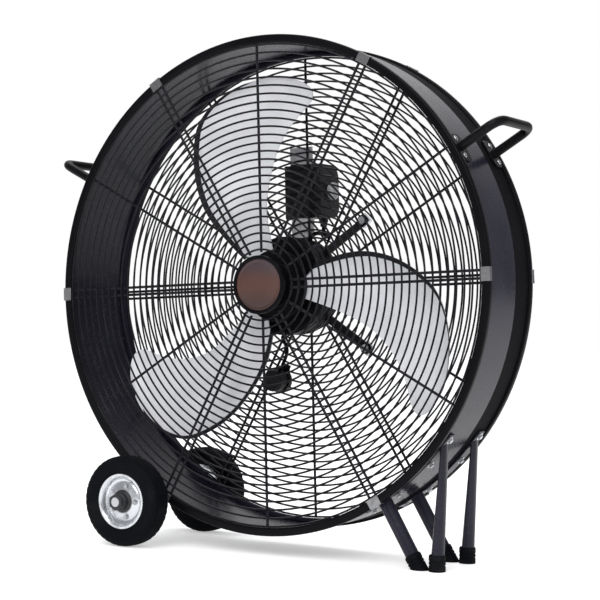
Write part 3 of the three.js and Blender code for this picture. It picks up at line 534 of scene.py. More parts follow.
def bridge(mesh, rings, looped, closed=True):
    """Joins neighbouring rings of vertices with faces."""
    count = len(rings)
    for n in range(count if looped else count - 1):
        here, there = rings[n], rings[(n + 1) % count]
        for k in range(len(here) if closed else len(here) - 1):
            j = (k + 1) % len(here)
            mesh.faces.new((here[k], here[j], there[j], there[k]))


def loft(mesh, rings):
    """Joins rings of vertices one after the other and closes both ends."""
    bridge(mesh, rings, looped=False)
    mesh.faces.new(rings[0][::-1])
    mesh.faces.new(rings[-1])


def turned(mesh, profile, at=(0, 0, 0), out=(0, 1, 0), steps=TURN_STEPS, hollow=False):
    """Turns a profile of (radius, height) points about the line from at along out."""
    at, out = Vector(at), Vector(out).normalized()
    first = out.orthogonal().normalized()
    second = out.cross(first)
    rings = []
    for step in range(steps):
        angle = math.tau * step / steps
        spoke = first * math.cos(angle) + second * math.sin(angle)
        rings.append([mesh.verts.new(at + out * height + spoke * radius) for radius, height in profile])
    bridge(mesh, rings, looped=True, closed=hollow)


def sweep(mesh, path, radius, sides, looped=False):
    """A round bar or tube along a path of points, with flat ends."""
    rings = []
    across = None
    for n, point in enumerate(path):
        if looped:
            along = path[(n + 1) % len(path)] - path[n - 1]
        else:
            along = path[min(n + 1, len(path) - 1)] - path[max(n - 1, 0)]
        along.normalize()
        across = along.orthogonal() if across is None else across - along * across.dot(along)
        across.normalize()
        up = along.cross(across)
        turns = [math.tau * k / sides for k in range(sides)]
        ring = [point + radius * (math.cos(turn) * across + math.sin(turn) * up) for turn in turns]
        rings.append([mesh.verts.new(corner) for corner in ring])
    if looped:
        bridge(mesh, rings, looped)
    else:
        loft(mesh, rings)


def slab(mesh, outline, thickness):
    """A flat plate: an outline of points in space, pushed out by a vector."""
    low = [mesh.verts.new(point) for point in outline]
    high = [mesh.verts.new(Vector(point) + Vector(thickness)) for point in outline]
    loft(mesh, [low, high])


def brick(mesh, low, high):
    """A block between two corners."""
    x0, y0, z0 = low
    x1, y1, z1 = high
    slab(mesh, [(x0, y0, z0), (x1, y0, z0), (x1, y0, z1), (x0, y0, z1)], (0, y1 - y0, 0))


def bend(corner, before, after, radius, steps=8):
    """Points round a corner between two straight stretches."""
    start = corner + (before - corner).normalized() * radius
    end = corner + (after - corner).normalized() * radius
    spots = [step / steps for step in range(steps + 1)]
    return [start * (1 - t) ** 2 + corner * 2 * t * (1 - t) + end * t ** 2 for t in spots]


def eased(outline, radius, steps):
    """A closed 2D outline with its corners rounded off."""
    points = [Vector(point) for point in outline]
    smooth = []
    for n, corner in enumerate(points):
        before, after = points[n - 1], points[(n + 1) % len(points)]
        reach = min(radius, (before - corner).length / 2.01, (after - corner).length / 2.01)
        smooth += bend(corner, before, after, reach, steps)
    return [tuple(point) for point in smooth]


def curve_through(points):
    """A smooth path through given points."""
    steps = 10
    path = []
    for n in range(len(points) - 1):
        p0 = points[max(n - 1, 0)]
        p1, p2 = points[n], points[n + 1]
        p3 = points[min(n + 2, len(points) - 1)]
        for step in range(steps):
            t = step / steps
            slope = p2 - p0
            square = 2 * p0 - 5 * p1 + 4 * p2 - p3
            cube = 3 * p1 - p0 - 3 * p2 + p3
            path.append(0.5 * ((2 * p1) + slope * t + square * t ** 2 + cube * t ** 3))
    path.append(points[-1].copy())
    return path


def polar(radius, degrees, y=0.0):
    """A point at an angle round the drum's axis, from +X towards +Z."""
    angle = math.radians(degrees)
    return Vector((radius * math.cos(angle), y, radius * math.sin(angle)))


def bent_plate(mesh, low, centre, reach, y, wide, flat, taper, steps, at=Vector()):
    """A plate on the drum's wall, from a low radius up, that narrows past a share of its reach."""
    rings = []
    for step in range(steps + 1):
        share = 2 * step / steps - 1
        half = wide * (1 - max(0, abs(share) - flat) ** 2 * taper)
        corners = ((low, -half), (low, half), (PLATE_RADIUS, half), (PLATE_RADIUS, -half))
        points = [at + polar(radius, centre + reach * share, y + shift) for radius, shift in corners]
        rings.append([mesh.verts.new(point) for point in points])
    loft(mesh, rings)


def cut_below(mesh, height):
    """Cuts away what lies below a height and closes the cut."""
    geometry = mesh.verts[:] + mesh.edges[:] + mesh.faces[:]
    cut = bmesh.ops.bisect_plane(
        mesh, geom=geometry, plane_co=(0, 0, height), plane_no=(0, 0, -1), clear_outer=True)
    edges = [item for item in cut["geom_cut"] if isinstance(item, bmesh.types.BMEdge)]
    bmesh.ops.edgeloop_fill(mesh, edges=edges)


def about_axis(mesh, start, degrees):
    """Turns what was added to the mesh since start about the drum's axis."""
    added = [vertex for n, vertex in enumerate(mesh.verts) if n >= start]
    bmesh.ops.transform(mesh, matrix=Matrix.Rotation(-math.radians(degrees), 4, "Y"), verts=added)


def drawn(draw, *values, degrees=0, **more):
    """A new mesh with one form drawn in it, turned about the drum's axis."""
    mesh = bmesh.new()
    draw(mesh, *values, **more)
    if degrees:
        about_axis(mesh, 0, degrees)
    return mesh


def piece(name, mesh, look, *nodes, body="stand", slot=None, place=IN_DRUM, bevel=0.0, crease=35):
    """Turns a finished mesh into a piece that rides on its body and replaces nodes of the frame."""
    bmesh.ops.remove_doubles(mesh, verts=mesh.verts, dist=SAME_POINT)
    bmesh.ops.recalc_face_normals(mesh, faces=mesh.faces)
    bmesh.ops.transform(mesh, matrix=place, verts=mesh.verts)
    data = bpy.data.meshes.new(name)
    mesh.to_mesh(data)
    mesh.free()
    data.shade_smooth()
    data.set_sharp_from_angle(angle=math.radians(crease))
    data.materials.append(look())
    made = bpy.data.objects.new(name, data)
    bpy.context.scene.collection.objects.link(made)
    if bevel:
        soften(made, bevel)
    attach(made, body)
    if nodes:
        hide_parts(*nodes)


def turned_piece(name, profile, look, *nodes, steps=TURN_STEPS, hollow=True, **more):
    """A piece that is turned about the drum's axis."""
    piece(name, drawn(turned, profile, steps=steps, hollow=hollow), look, *nodes, **more)


def soften(made, width):
    """Rounds the sharp edges of a piece or of a node of the frame."""
    edge = made.modifiers.new("edges", "BEVEL")
    edge.width = width
    edge.segments = 2
    edge.limit_method = "ANGLE"
    edge.angle_limit = math.radians(38)


def dress(look, *nodes, bevel=0.0004):
    """Gives nodes of the frame their finish and soft edges."""
    for name in nodes:
        node = frame["nodes"][name]
        for holder in node.material_slots:
            holder.material = look()
        soften(node, bevel)


# ------------------------------------------------------------------ fasteners

def screw(mesh, at, out, radius, height):
    """A domed screw head with a thin washer under it."""
    shares = [(0, 0), (1.45, 0), (1.45, 0.3), (1, 0.3), (0.96, 0.62)]
    shares += [(0.7, 0.9), (0.34, 1), (0.3, 0.55), (0, 0.5)]
    turned(mesh, [(radius * wide, height * high) for wide, high in shares], at, out, 20)


def hex_bolt(mesh, at, out, radius, height):
    """A six-sided head on a flat washer a quarter as high."""
    washer = [(0, 0), (radius * 1.5, 0), (radius * 1.5, height * 0.25), (0, height * 0.25)]
    turned(mesh, washer, at, out, 24)
    base = Vector(at) + Vector(out).normalized() * height * 0.25
    head = [(0, 0), (radius, 0), (radius, height * 0.85), (radius * 0.82, height), (0, height)]
    turned(mesh, head, base, out, 6)


def rivet(mesh, at, out, radius, height):
    """A low domed rivet."""
    profile = [(0, 0), (radius, 0), (radius * 0.9, height * 0.5), (radius * 0.5, height * 0.93), (0, height)]
    turned(mesh, profile, at, out, 16)


# ------------------------------------------------------------------ drum and guards

class DRUMFAN_OT_drum(bpy.types.Operator):
    """Rolled drum sheet with its painted band, edge rims and rim clips"""

    bl_idname = "drumfan.drum"
    bl_label = "Drum"

    BAND_START = 0.024
    CLIP_HALF_WIDTH = 0.011

    def execute(self, context):
        end = span("drum_shell", 1)[1]
        self.sleeve("drum_sheet", -sizes().sheet, 0, -end, end, slate_paint, "drum_shell")
        for place, side in SIDES:
            turned_piece(f"{place}_edge_rim", self.channel(side), rim_paint, f"{place}_rim", steps=RIM_STEPS)
        end = RIM_FACE - RIM_DEPTH - 0.0002
        self.sleeve("drum_rear_band", 0.00003, 0.00024, self.BAND_START, end, band_paint, slot="black_paint")
        self.clips()
        return {"FINISHED"}

    @staticmethod
    def sleeve(name, under, over, start, end, look, *nodes, **more):
        """A round sleeve between two distances from the wall's outer face."""
        low, high = WALL_RADIUS + under, WALL_RADIUS + over
        profile = [(low, start), (high, start), (high, end), (low, end)]
        turned_piece(name, profile, look, *nodes, steps=RIM_STEPS, **more)

    def clips(self):
        """Zinc clips over the rims where the guards' pairs of rods end."""
        wide = self.CLIP_HALF_WIDTH
        for place, side in SIDES:
            clips = bmesh.new()
            for n in range(0, sizes().rods, 2):
                start = len(clips.verts)
                # One leaf lies over the rim's face and the other over its outer side.
                for inner, reach in ((-0.0145, 0.0001), (0.0001, -0.007)):
                    near, far = sorted((side * (RIM_FACE + reach), side * (RIM_FACE + 0.001)))
                    brick(clips, (RIM_RADIUS + inner, near, -wide), (RIM_RADIUS + 0.001, far, wide))
                about_axis(clips, start, 360 * n / sizes().rods)
            piece(f"{place}_rim_clips", clips, clip_zinc, slot="bright_steel", bevel=0.0003)

    @staticmethod
    def channel(side):
        """The profile of an edge rim: a channel with rolled corners that grips the sheet's edge."""
        inner = RIM_RADIUS - sizes().rim_band
        back = RIM_FACE - RIM_DEPTH
        seat = RIM_FACE - 0.004
        over, under = WALL_RADIUS + CLEARANCE, WALL_RADIUS - sizes().sheet - CLEARANCE
        corners = [(inner, back), (inner, RIM_FACE), (RIM_RADIUS, RIM_FACE), (RIM_RADIUS, back)]
        groove = [(over, back), (over, seat), (under, seat), (under, back)]
        return [(radius, side * y) for radius, y in eased(corners, 0.0034, 5) + groove]


class DRUMFAN_OT_guards(bpy.types.Operator):
    """Wire guards: ring wires on straight rods, every other place with a pair of rods"""

    bl_idname = "drumfan.guards"
    bl_label = "Guards"

    RING_POINTS = 144

    def execute(self, context):
        size = sizes()
        wire = size.ring_wire / 2
        outermost = GUARD_RADIUS - wire
        pitch = (outermost - MOUNT_RADIUS) / size.outer_rings
        innermost = MOUNT_RADIUS - size.inner_rings * pitch
        ring_y = GUARD_FACE - wire
        # The rods lie behind the rings and sink a little into them, as welded wire does.
        rod_y = ring_y - (wire + size.rod_wire / 2) * 0.8
        for place, side in SIDES:
            guard = bmesh.new()
            for n in range(size.inner_rings + size.outer_rings + 1):
                radius = innermost + n * pitch
                turns = [360 * step / self.RING_POINTS for step in range(self.RING_POINTS)]
                path = [polar(radius, turn, side * ring_y) for turn in turns]
                sweep(guard, path, wire, 6, looped=True)
            for n in range(size.rods):
                offsets = (0.0,) if n % 2 else (-size.rod_gap / 2, size.rod_gap / 2)
                for offset in offsets:
                    self.rod(guard, 360 * n / size.rods, offset, side * rod_y, innermost, outermost, size)
            piece(f"{place}_wire_guard", guard, guard_wire, f"{place}_guard", crease=60)
        return {"FINISHED"}

    @staticmethod
    def rod(mesh, degrees, offset, y, inner, outer, size):
        """One straight rod from inside the innermost ring to the outermost."""
        reach = math.sqrt(outer ** 2 - offset ** 2)
        start = len(mesh.verts)
        path = [Vector((inner - 0.004, y, offset)), Vector((reach, y, offset))]
        sweep(mesh, path, size.rod_wire / 2, 8)
        about_axis(mesh, start, degrees)


class DRUMFAN_OT_badge(bpy.types.Operator):
    """Plain badge in the middle of the front guard"""

    bl_idname = "drumfan.badge"
    bl_label = "Badge"

    def execute(self, context):
        face, back = span("badge_plate", 1)
        top, base = span("badge_disc", 1)
        floor = base + CLEARANCE
        lip = BADGE_RADIUS - 0.0055
        edge = eased([(BADGE_RADIUS, back), (BADGE_RADIUS, face), (lip, face), (lip, floor)], 0.0018, 4)
        profile = [(0, back)] + edge + [(0, floor)]
        turned_piece("badge_ring", profile, rim_paint, "badge_plate", hollow=False)
        radius = half_width("badge_disc")
        crown = top + 0.0009
        drops = ((1, 0), (0.985, 0.0004), (0.9, 0.0005), (0.88, 0.0001), (0.85, 0.0006), (0.4, 0.0008),
                 (0, crown - top))
        profile = [(0, base), (radius, base)] + [(radius * share, crown - drop) for share, drop in drops]
        turned_piece("badge_face", profile, badge_face, "badge_disc", hollow=False)
        return {"FINISHED"}


# ------------------------------------------------------------------ fan and motor

BLADES = 3
BLADE_TIP = 0.347
BLADE_ROOT = 0.034
BLADE_PITCH = 14
BLADE_CAMBER = 0.012
BLADE_START = 24.5
BLADE_SWEEP = 36
BLADE_SWEEP_POWER = 1.8
BLADE_ROOT_WIDTH = 51
BLADE_TIP_WIDTH = 37.5
BLADE_ROUND = 0.16
BLADE_TWIST = 0.09
BLADE_NOTCH = 0.082
BLADE_FLAT_END = 0.107
BLADE_HEM = 0.0095
HUB_CAP = 0.0147
HUB_PLATE = 0.005
RIVET_CIRCLE = 0.048


def smoothstep(value, low, high):
    share = min(1.0, max(0.0, (value - low) / (high - low)))
    return share * share * (3 - 2 * share)


def blade_point(row, across, y):
    """A point of a blade's sheet: row from root to tip, across from edge to edge."""
    root = BLADE_NOTCH + (BLADE_ROOT - BLADE_NOTCH) * smoothstep(across, 0, 0.5)
    radius = root + row * (BLADE_TIP - root)
    along = (radius - BLADE_ROOT) / (BLADE_TIP - BLADE_ROOT)
    swept = BLADE_SWEEP * along ** BLADE_SWEEP_POWER
    full = BLADE_TIP_WIDTH + (BLADE_ROOT_WIDTH - BLADE_TIP_WIDTH) * (1 - along) ** 3
    rounding = max(0.0, (along - 1 + BLADE_ROUND) / BLADE_ROUND)
    width = full * math.sqrt(max(0.0, 1 - rounding * rounding))
    degrees = BLADE_START - swept - full / 2 - (across - 0.5) * width
    rise = smoothstep(radius, BLADE_FLAT_END, BLADE_FLAT_END + BLADE_TWIST)
    chord = radius * math.radians(width)
    pitch = math.tan(math.radians(BLADE_PITCH)) * chord * (across - 0.5)
    camber = 4 * BLADE_CAMBER * across * (1 - across) * min(1, width / full + 0.2)
    return polar(radius, degrees, y + rise * (pitch + camber))


class DRUMFAN_OT_fan(bpy.types.Operator):
    """Hub, three swept blades and the rivets that join them"""

    bl_idname = "drumfan.fan"
    bl_label = "Fan"

    ROWS = 64
    COLUMNS = 20

    def execute(self, context):
        plate_front = span("fan_hub", 1)[0] + HUB_CAP
        y = plate_front + HUB_PLATE + CLEARANCE + sizes().blade_sheet / 2
        for n in range(BLADES):
            blade = drawn(self.blade, y, degrees=360 * n / BLADES)
            piece(f"swept_blade_{n + 1}", blade, blade_metal, f"blade_{n + 1}", body="fan")
            # A dark strip of painted shade lies along each blade's swept edge.
            hem = drawn(self.hem, y - sizes().blade_sheet / 2, degrees=360 * n / BLADES)
            piece(f"blade_hem_{n + 1}", hem, pressed_hem, body="fan", slot="blade_metal")
        self.hub()
        self.rivets(plate_front)
        dress(bright_steel, "hub_nut", "motor_shaft", "rotor")
        return {"FINISHED"}

    def blade(self, mesh, y):
        """A sheet of even thickness with a rounded tip."""
        rings = []
        for row in range(self.ROWS + 1):
            # The rows lie closer together towards the tip, where the outline turns fastest.
            share = 0.999 * (1 - (1 - row / self.ROWS) ** 1.7)
            near = [blade_point(share, column / self.COLUMNS, y) for column in range(self.COLUMNS + 1)]
            lift = Vector((0, sizes().blade_sheet / 2, 0))
            ring = [point - lift for point in near] + [point + lift for point in reversed(near)]
            rings.append([mesh.verts.new(point) for point in ring])
        loft(mesh, rings)

    @staticmethod
    def hem(mesh, y):
        """A fold along the blade's swept edge, standing a little in front of the sheet, that carries the
        painted shade of the curling edge.
        """
        rings = []
        steps = 56
        for row in range(steps + 1):
            share = 0.985 * (1 - (1 - row / steps) ** 1.4)
            edge = blade_point(share, 0.0, y)
            inward = blade_point(share, 0.15, y) - edge
            width = min(BLADE_HEM, inward.length * 2)
            inner = edge + inward.normalized() * width
            rise, sink = Vector((0, -0.0011, 0)), Vector((0, -0.00005, 0))
            ring = [edge + sink, edge + rise * 0.7, edge.lerp(inner, 0.25) + rise,
                    edge.lerp(inner, 0.8) + rise, inner + rise * 0.5, inner + sink]
            rings.append([mesh.verts.new(point) for point in ring])
        loft(mesh, rings)

    @staticmethod
    def hub():
        """A cast boss on a stepped round plate."""
        bore = half_width("motor_shaft") + CLEARANCE
        front, rear = span("fan_hub", 1)
        plate = half_width("fan_hub")
        outline = [
            (bore, 0), (0.021, 0), (0.023, 0.004), (0.0238, 0.009), (0.0365, 0.009), (0.0395, 0.0105),
            (0.04, HUB_CAP), (0.0555, HUB_CAP), (0.057, HUB_CAP - 0.0008), (plate, HUB_CAP),
            (plate, HUB_CAP + HUB_PLATE), (0.024, HUB_CAP + HUB_PLATE), (0.024, rear - front),
            (bore, rear - front),
        ]
        profile = eased([(radius, front + depth) for radius, depth in outline], 0.0014, 3)
        turned_piece("hub_casting", profile, black_paint, "fan_hub", body="fan")

    @staticmethod
    def rivets(face):
        """Three painted rivets through the plate into each blade's root."""
        rivets = bmesh.new()
        for n in range(BLADES):
            for share in (0.55, 0.75, 0.95):
                degrees = BLADE_START - BLADE_ROOT_WIDTH * share + 360 * n / BLADES
                rivet(rivets, polar(RIVET_CIRCLE, degrees, face), (0, -1, 0), 0.0036, 0.0016)
        piece("blade_rivets", rivets, black_paint, body="fan")


class DRUMFAN_OT_motor(bpy.types.Operator):
    """Motor casing with ribbed covers, its mount, bolts, capacitor and leads"""

    bl_idname = "drumfan.motor"
    bl_label = "Motor"

    RIBS = 18
    SCREWS = 4
    SCREW_CIRCLE = 0.0645

    def execute(self, context):
        rear = span("motor_rear_bell", 1)[1]
        self.cover("motor_front_cover", "motor_front_bell", span("motor_front_bell", 1)[0], 1)
        self.cover("motor_rear_cover", "motor_rear_bell", rear, -1)
        self.casing()
        self.screws(rear + 0.0033)
        dress(black_paint, "motor_mount", "capacitor_clip", bevel=0.0006)
        dress(bright_steel, "stator_core", "front_bearing", "rear_bearing")
        dress(bright_steel, *[f"mount_bolt_{n}" for n in (1, 2, 3, 4)])
        dress(winding_wire, "front_winding", "rear_winding")
        self.capacitor()
        self.leads()
        return {"FINISHED"}

    def cover(self, name, node, face, direction):
        """A cast end cover with a bearing boss and cooling ribs on its web."""
        shaft = half_width("motor_shaft") + 2 * CLEARANCE
        pocket = half_width("front_bearing") + CLEARANCE
        boss = pocket + 0.0055
        inside = MOTOR_RADIUS - 0.007
        outline = [
            (shaft, 0), (0.03, 0), (0.0335, 0.0016), (0.073, 0.0016), (0.077, 0.0004), (MOTOR_RADIUS, 0.004),
            (MOTOR_RADIUS, 0.0097), (inside, 0.0097), (inside, 0.005), (boss, 0.005), (boss, 0.0133),
            (pocket, 0.0133), (pocket, 0.003), (shaft, 0.003),
        ]
        cover = bmesh.new()
        profile = [(radius, face + direction * depth) for radius, depth in outline]
        turned(cover, profile, hollow=True)
        for n in range(self.RIBS):
            start = len(cover.verts)
            low, high = sorted((face + direction * 0.0002, face + direction * 0.002))
            brick(cover, (0.036, low, -0.0012), (0.071, high, 0.0012))
            about_axis(cover, start, 360 * n / self.RIBS)
        piece(name, cover, black_paint, node)

    @staticmethod
    def casing():
        """A rolled steel casing with two pressed beads."""
        front, rear = span("motor_housing", 1)
        wall = 0.0035
        bead = 0.0012
        outer = [(MOTOR_RADIUS - bead, front)]
        for centre in (front + 0.009, rear - 0.009):
            for shift, lift in ((-0.004, 0), (-0.002, 0.7), (0, 1), (0.002, 0.7), (0.004, 0)):
                outer.append((MOTOR_RADIUS - bead + bead * lift, centre + shift))
        outer.append((MOTOR_RADIUS - bead, rear))
        inner = [(MOTOR_RADIUS - wall, rear), (MOTOR_RADIUS - wall, front)]
        turned_piece("motor_casing", outer + inner, black_paint, "motor_housing")

    def screws(self, face):
        """Screws through the motor's mount, one at the root of each arm."""
        screws = bmesh.new()
        for n in range(self.SCREWS):
            at = polar(self.SCREW_CIRCLE, 360 * (n + 0.5) / self.SCREWS, face)
            screw(screws, at, (0, 1, 0), 0.0036, 0.0024)
        piece("motor_mount_screws", screws, bright_steel)

    @staticmethod
    def capacitor():
        """A round can with a rolled edge and a domed cap."""
        front, rear = span("capacitor", 1)
        radius = half_width("capacitor") - 0.0002
        away = TO_DRUM @ middle("capacitor")
        outline = [
            (0, rear), (radius, rear), (radius, front + 0.006), (radius - 0.0016, front + 0.0045),
            (radius - 0.0004, front + 0.003), (radius - 0.0012, front + 0.0006), (radius * 0.8, front),
        ]
        can = drawn(turned, outline + [(0, front)], (away.x, 0, away.z), steps=48)
        piece("capacitor_can", can, box_plastic, "capacitor")

    @staticmethod
    def leads():
        """The two leads, along the same points as in the frame, in metres."""
        gland = TO_DRUM @ middle("lead_gland") - Vector((0, 0, 0.0073))
        entry = span("motor_housing", 1)[1] - 0.0167
        drops = ((0, 0, 0), (0, 0, -0.004), (0, 0, -0.008), (0.022, -0.018, -0.019))
        turns = ((0.009, 67, 0.0795), (0.014, 65, 0.054), (0.015, 63, entry + 0.013),
                 (0.009, 62, entry), (0.005, 62, entry), (0.0004, 62, entry))
        route = [gland + Vector(drop) for drop in drops]
        route += [polar(MOTOR_RADIUS + out, degrees, y) for out, degrees, y in turns]
        lead = drawn(sweep, curve_through(route), 0.0035, 16)
        piece("motor_supply_lead", lead, lead_rubber, "motor_lead")
        can = TO_DRUM @ middle("capacitor")
        start = math.degrees(math.atan2(can.z, can.x)) + 8
        entry += 0.005
        turns = ((0.0004, start, entry), (0.004, start, entry), (0.008, start, entry),
                 (0.03, start + 1, (entry + can.y - 0.007) / 2))
        route = [polar(MOTOR_RADIUS + out, degrees, y) for out, degrees, y in turns]
        end = Vector((can.x, -0.007, can.z))
        route += [end + polar(half_width("capacitor") + out, 55, can.y) for out in (0.006, 0.003, 0.0002)]
        lead = drawn(sweep, curve_through(route), 0.003, 14)
        piece("capacitor_supply_lead", lead, lead_rubber, "capacitor_lead")


# ------------------------------------------------------------------ control box

class DRUMFAN_OT_control_box(bpy.types.Operator):
    """Control box with its knob, dial and glands"""

    bl_idname = "drumfan.control_box"
    bl_label = "Control box"

    # How far the knob's base stands off its joint's point; the dial plate ends a clearance below it.
    KNOB_LIFT = 0.0014

    def execute(self, context):
        dress(box_plastic, "control_box_cover", bevel=0.0022)
        dress(box_plastic, "control_box_base", "rotary_switch", "dial_plate")
        dress(box_plastic, "lead_gland", "cord_gland", bevel=0.0008)
        dress(bracket_metal, "box_bracket", bevel=0.0008)
        dress(bright_steel, "switch_spindle")
        self.knob()
        self.marks()
        self.screws()
        return {"FINISHED"}

    def knob(self):
        """A round knob with a milled edge and a grip bar that shows the setting."""
        centre = KNOB_CENTRE + Vector((self.KNOB_LIFT, 0, 0))
        radius = half_width("speed_knob", 1)
        knob = bmesh.new()
        rings = []
        for height, share in ((0, 0.97), (0.001, 1.0), (0.006, 1.0), (0.0078, 0.93), (0.008, 0.86)):
            ring = []
            for step in range(TURN_STEPS):
                flute = 0.97 if step % 4 < 2 and share > 0.95 else 1
                angle = math.tau * step / TURN_STEPS
                spoke = radius * share * flute
                away = Vector((height, spoke * math.cos(angle), spoke * math.sin(angle)))
                ring.append(knob.verts.new(centre + away))
            rings.append(ring)
        loft(knob, rings)
        grip = eased([(-0.0028, -0.0118), (0.0028, -0.0118), (0.0022, 0.0128), (-0.0022, 0.0128)], 0.0015, 3)
        slab(knob, [centre + Vector((0.0075, y, z)) for y, z in grip], (0.0052, 0, 0))
        piece("setting_knob", knob, knob_plastic, "speed_knob", body="knob", bevel=0.0004)
        ends = [centre + Vector(corner) for corner in ((0.0126, -0.0006, 0.003), (0.013, 0.0006, 0.0118))]
        piece("knob_line", drawn(brick, *ends), box_plastic, body="knob")

    def marks(self):
        """Three plain strokes on the dial: off, low and high."""
        marks = bmesh.new()
        for degrees in (0, -60, -120):
            start = len(marks.verts)
            brick(marks, (-0.0001, -0.0006, 0.0163), (0.00015, 0.0006, 0.019))
            marks.verts.ensure_lookup_table()
            turn = Matrix.Rotation(math.radians(-degrees), 4, "X")
            bmesh.ops.transform(marks, matrix=turn, verts=marks.verts[start:])
        shift = Matrix.Translation(KNOB_CENTRE + Vector((self.KNOB_LIFT - CLEARANCE, 0, 0)))
        bmesh.ops.transform(marks, matrix=shift, verts=marks.verts)
        piece("dial_marks", marks, mark_paint, slot="knob_plastic")

    @staticmethod
    def screws():
        """Two screws through the bracket's lower end and two through its upper end."""
        low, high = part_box("box_bracket")
        centre = TO_DRUM @ middle("box_bracket")
        screws = bmesh.new()
        reach = (high.z - low.z) / 2
        for z in (reach - 0.01, 0.012 - reach):
            for x in (-0.012, 0.012):
                screw(screws, (centre.x + x, high.y, centre.z + z), (0, 1, 0), 0.003, 0.002)
        piece("bracket_screws", screws, bright_steel)


# ------------------------------------------------------------------ handles, wheels and stand

class DRUMFAN_OT_handles(bpy.types.Operator):
    """Bent tube handles on flat feet"""

    bl_idname = "drumfan.handles"
    bl_label = "Handles"

    ANGLE = 29
    BEND = 0.024
    FOOT_REACH = 0.025
    FOOT_INWARD = 0.006
    FOOT_SCREW = 0.0155
    # The grip's outer face stays within this distance of the drum's axis.
    GRIP_REACH = 0.4915

    def execute(self, context):
        screws = bmesh.new()
        for place, degrees in (("right", self.ANGLE), ("left", 180 - self.ANGLE)):
            handle = drawn(self.handle, degrees=degrees)
            piece(f"{place}_grip", handle, black_paint, f"{place}_handle", bevel=0.0008)
            for y in (-1, 1):
                for x in (-1, 1):
                    turn = degrees + math.degrees(x * self.FOOT_SCREW / WALL_RADIUS)
                    at = polar(FASTENER_RADIUS, turn, y * self.side())
                    rivet(screws, at, polar(1, turn), 0.0045, 0.002)
        piece("handle_screws", screws, bright_steel)
        return {"FINISHED"}

    @staticmethod
    def side():
        """How far a handle's tube stands from the drum's middle."""
        return half_width("right_handle", 1) - sizes().tube - 0.0007

    def handle(self, mesh):
        tube = sizes().tube
        side = self.side()
        grip = self.grip_radius()
        foot = WALL_RADIUS + 0.0008
        stops = [Vector((x, y, 0)) for x, y in ((foot, -side), (grip, -side), (grip, side), (foot, side))]
        path = stops[:1] + bend(stops[1], stops[0], stops[2], self.BEND)
        path += bend(stops[2], stops[1], stops[3], self.BEND) + stops[3:]
        sweep(mesh, path, tube, 20)
        half_angle = math.degrees(self.FOOT_REACH / WALL_RADIUS)
        inward = self.FOOT_INWARD
        for y in (inward - side, side - inward):
            bent_plate(mesh, WALL_RADIUS + 0.0007, 0, half_angle, y, tube + 0.0007 + inward, 0.7, 5, 12)

    def grip_radius(self):
        """The distance from the drum's axis to the middle of the grip's tube."""
        low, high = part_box("right_handle")
        corner = TO_DRUM @ Vector((high.x, 0, high.z))
        turned_back = Matrix.Rotation(math.radians(self.ANGLE), 4, "Y") @ corner
        return min(turned_back.x, self.GRIP_REACH) - sizes().tube - 0.0005


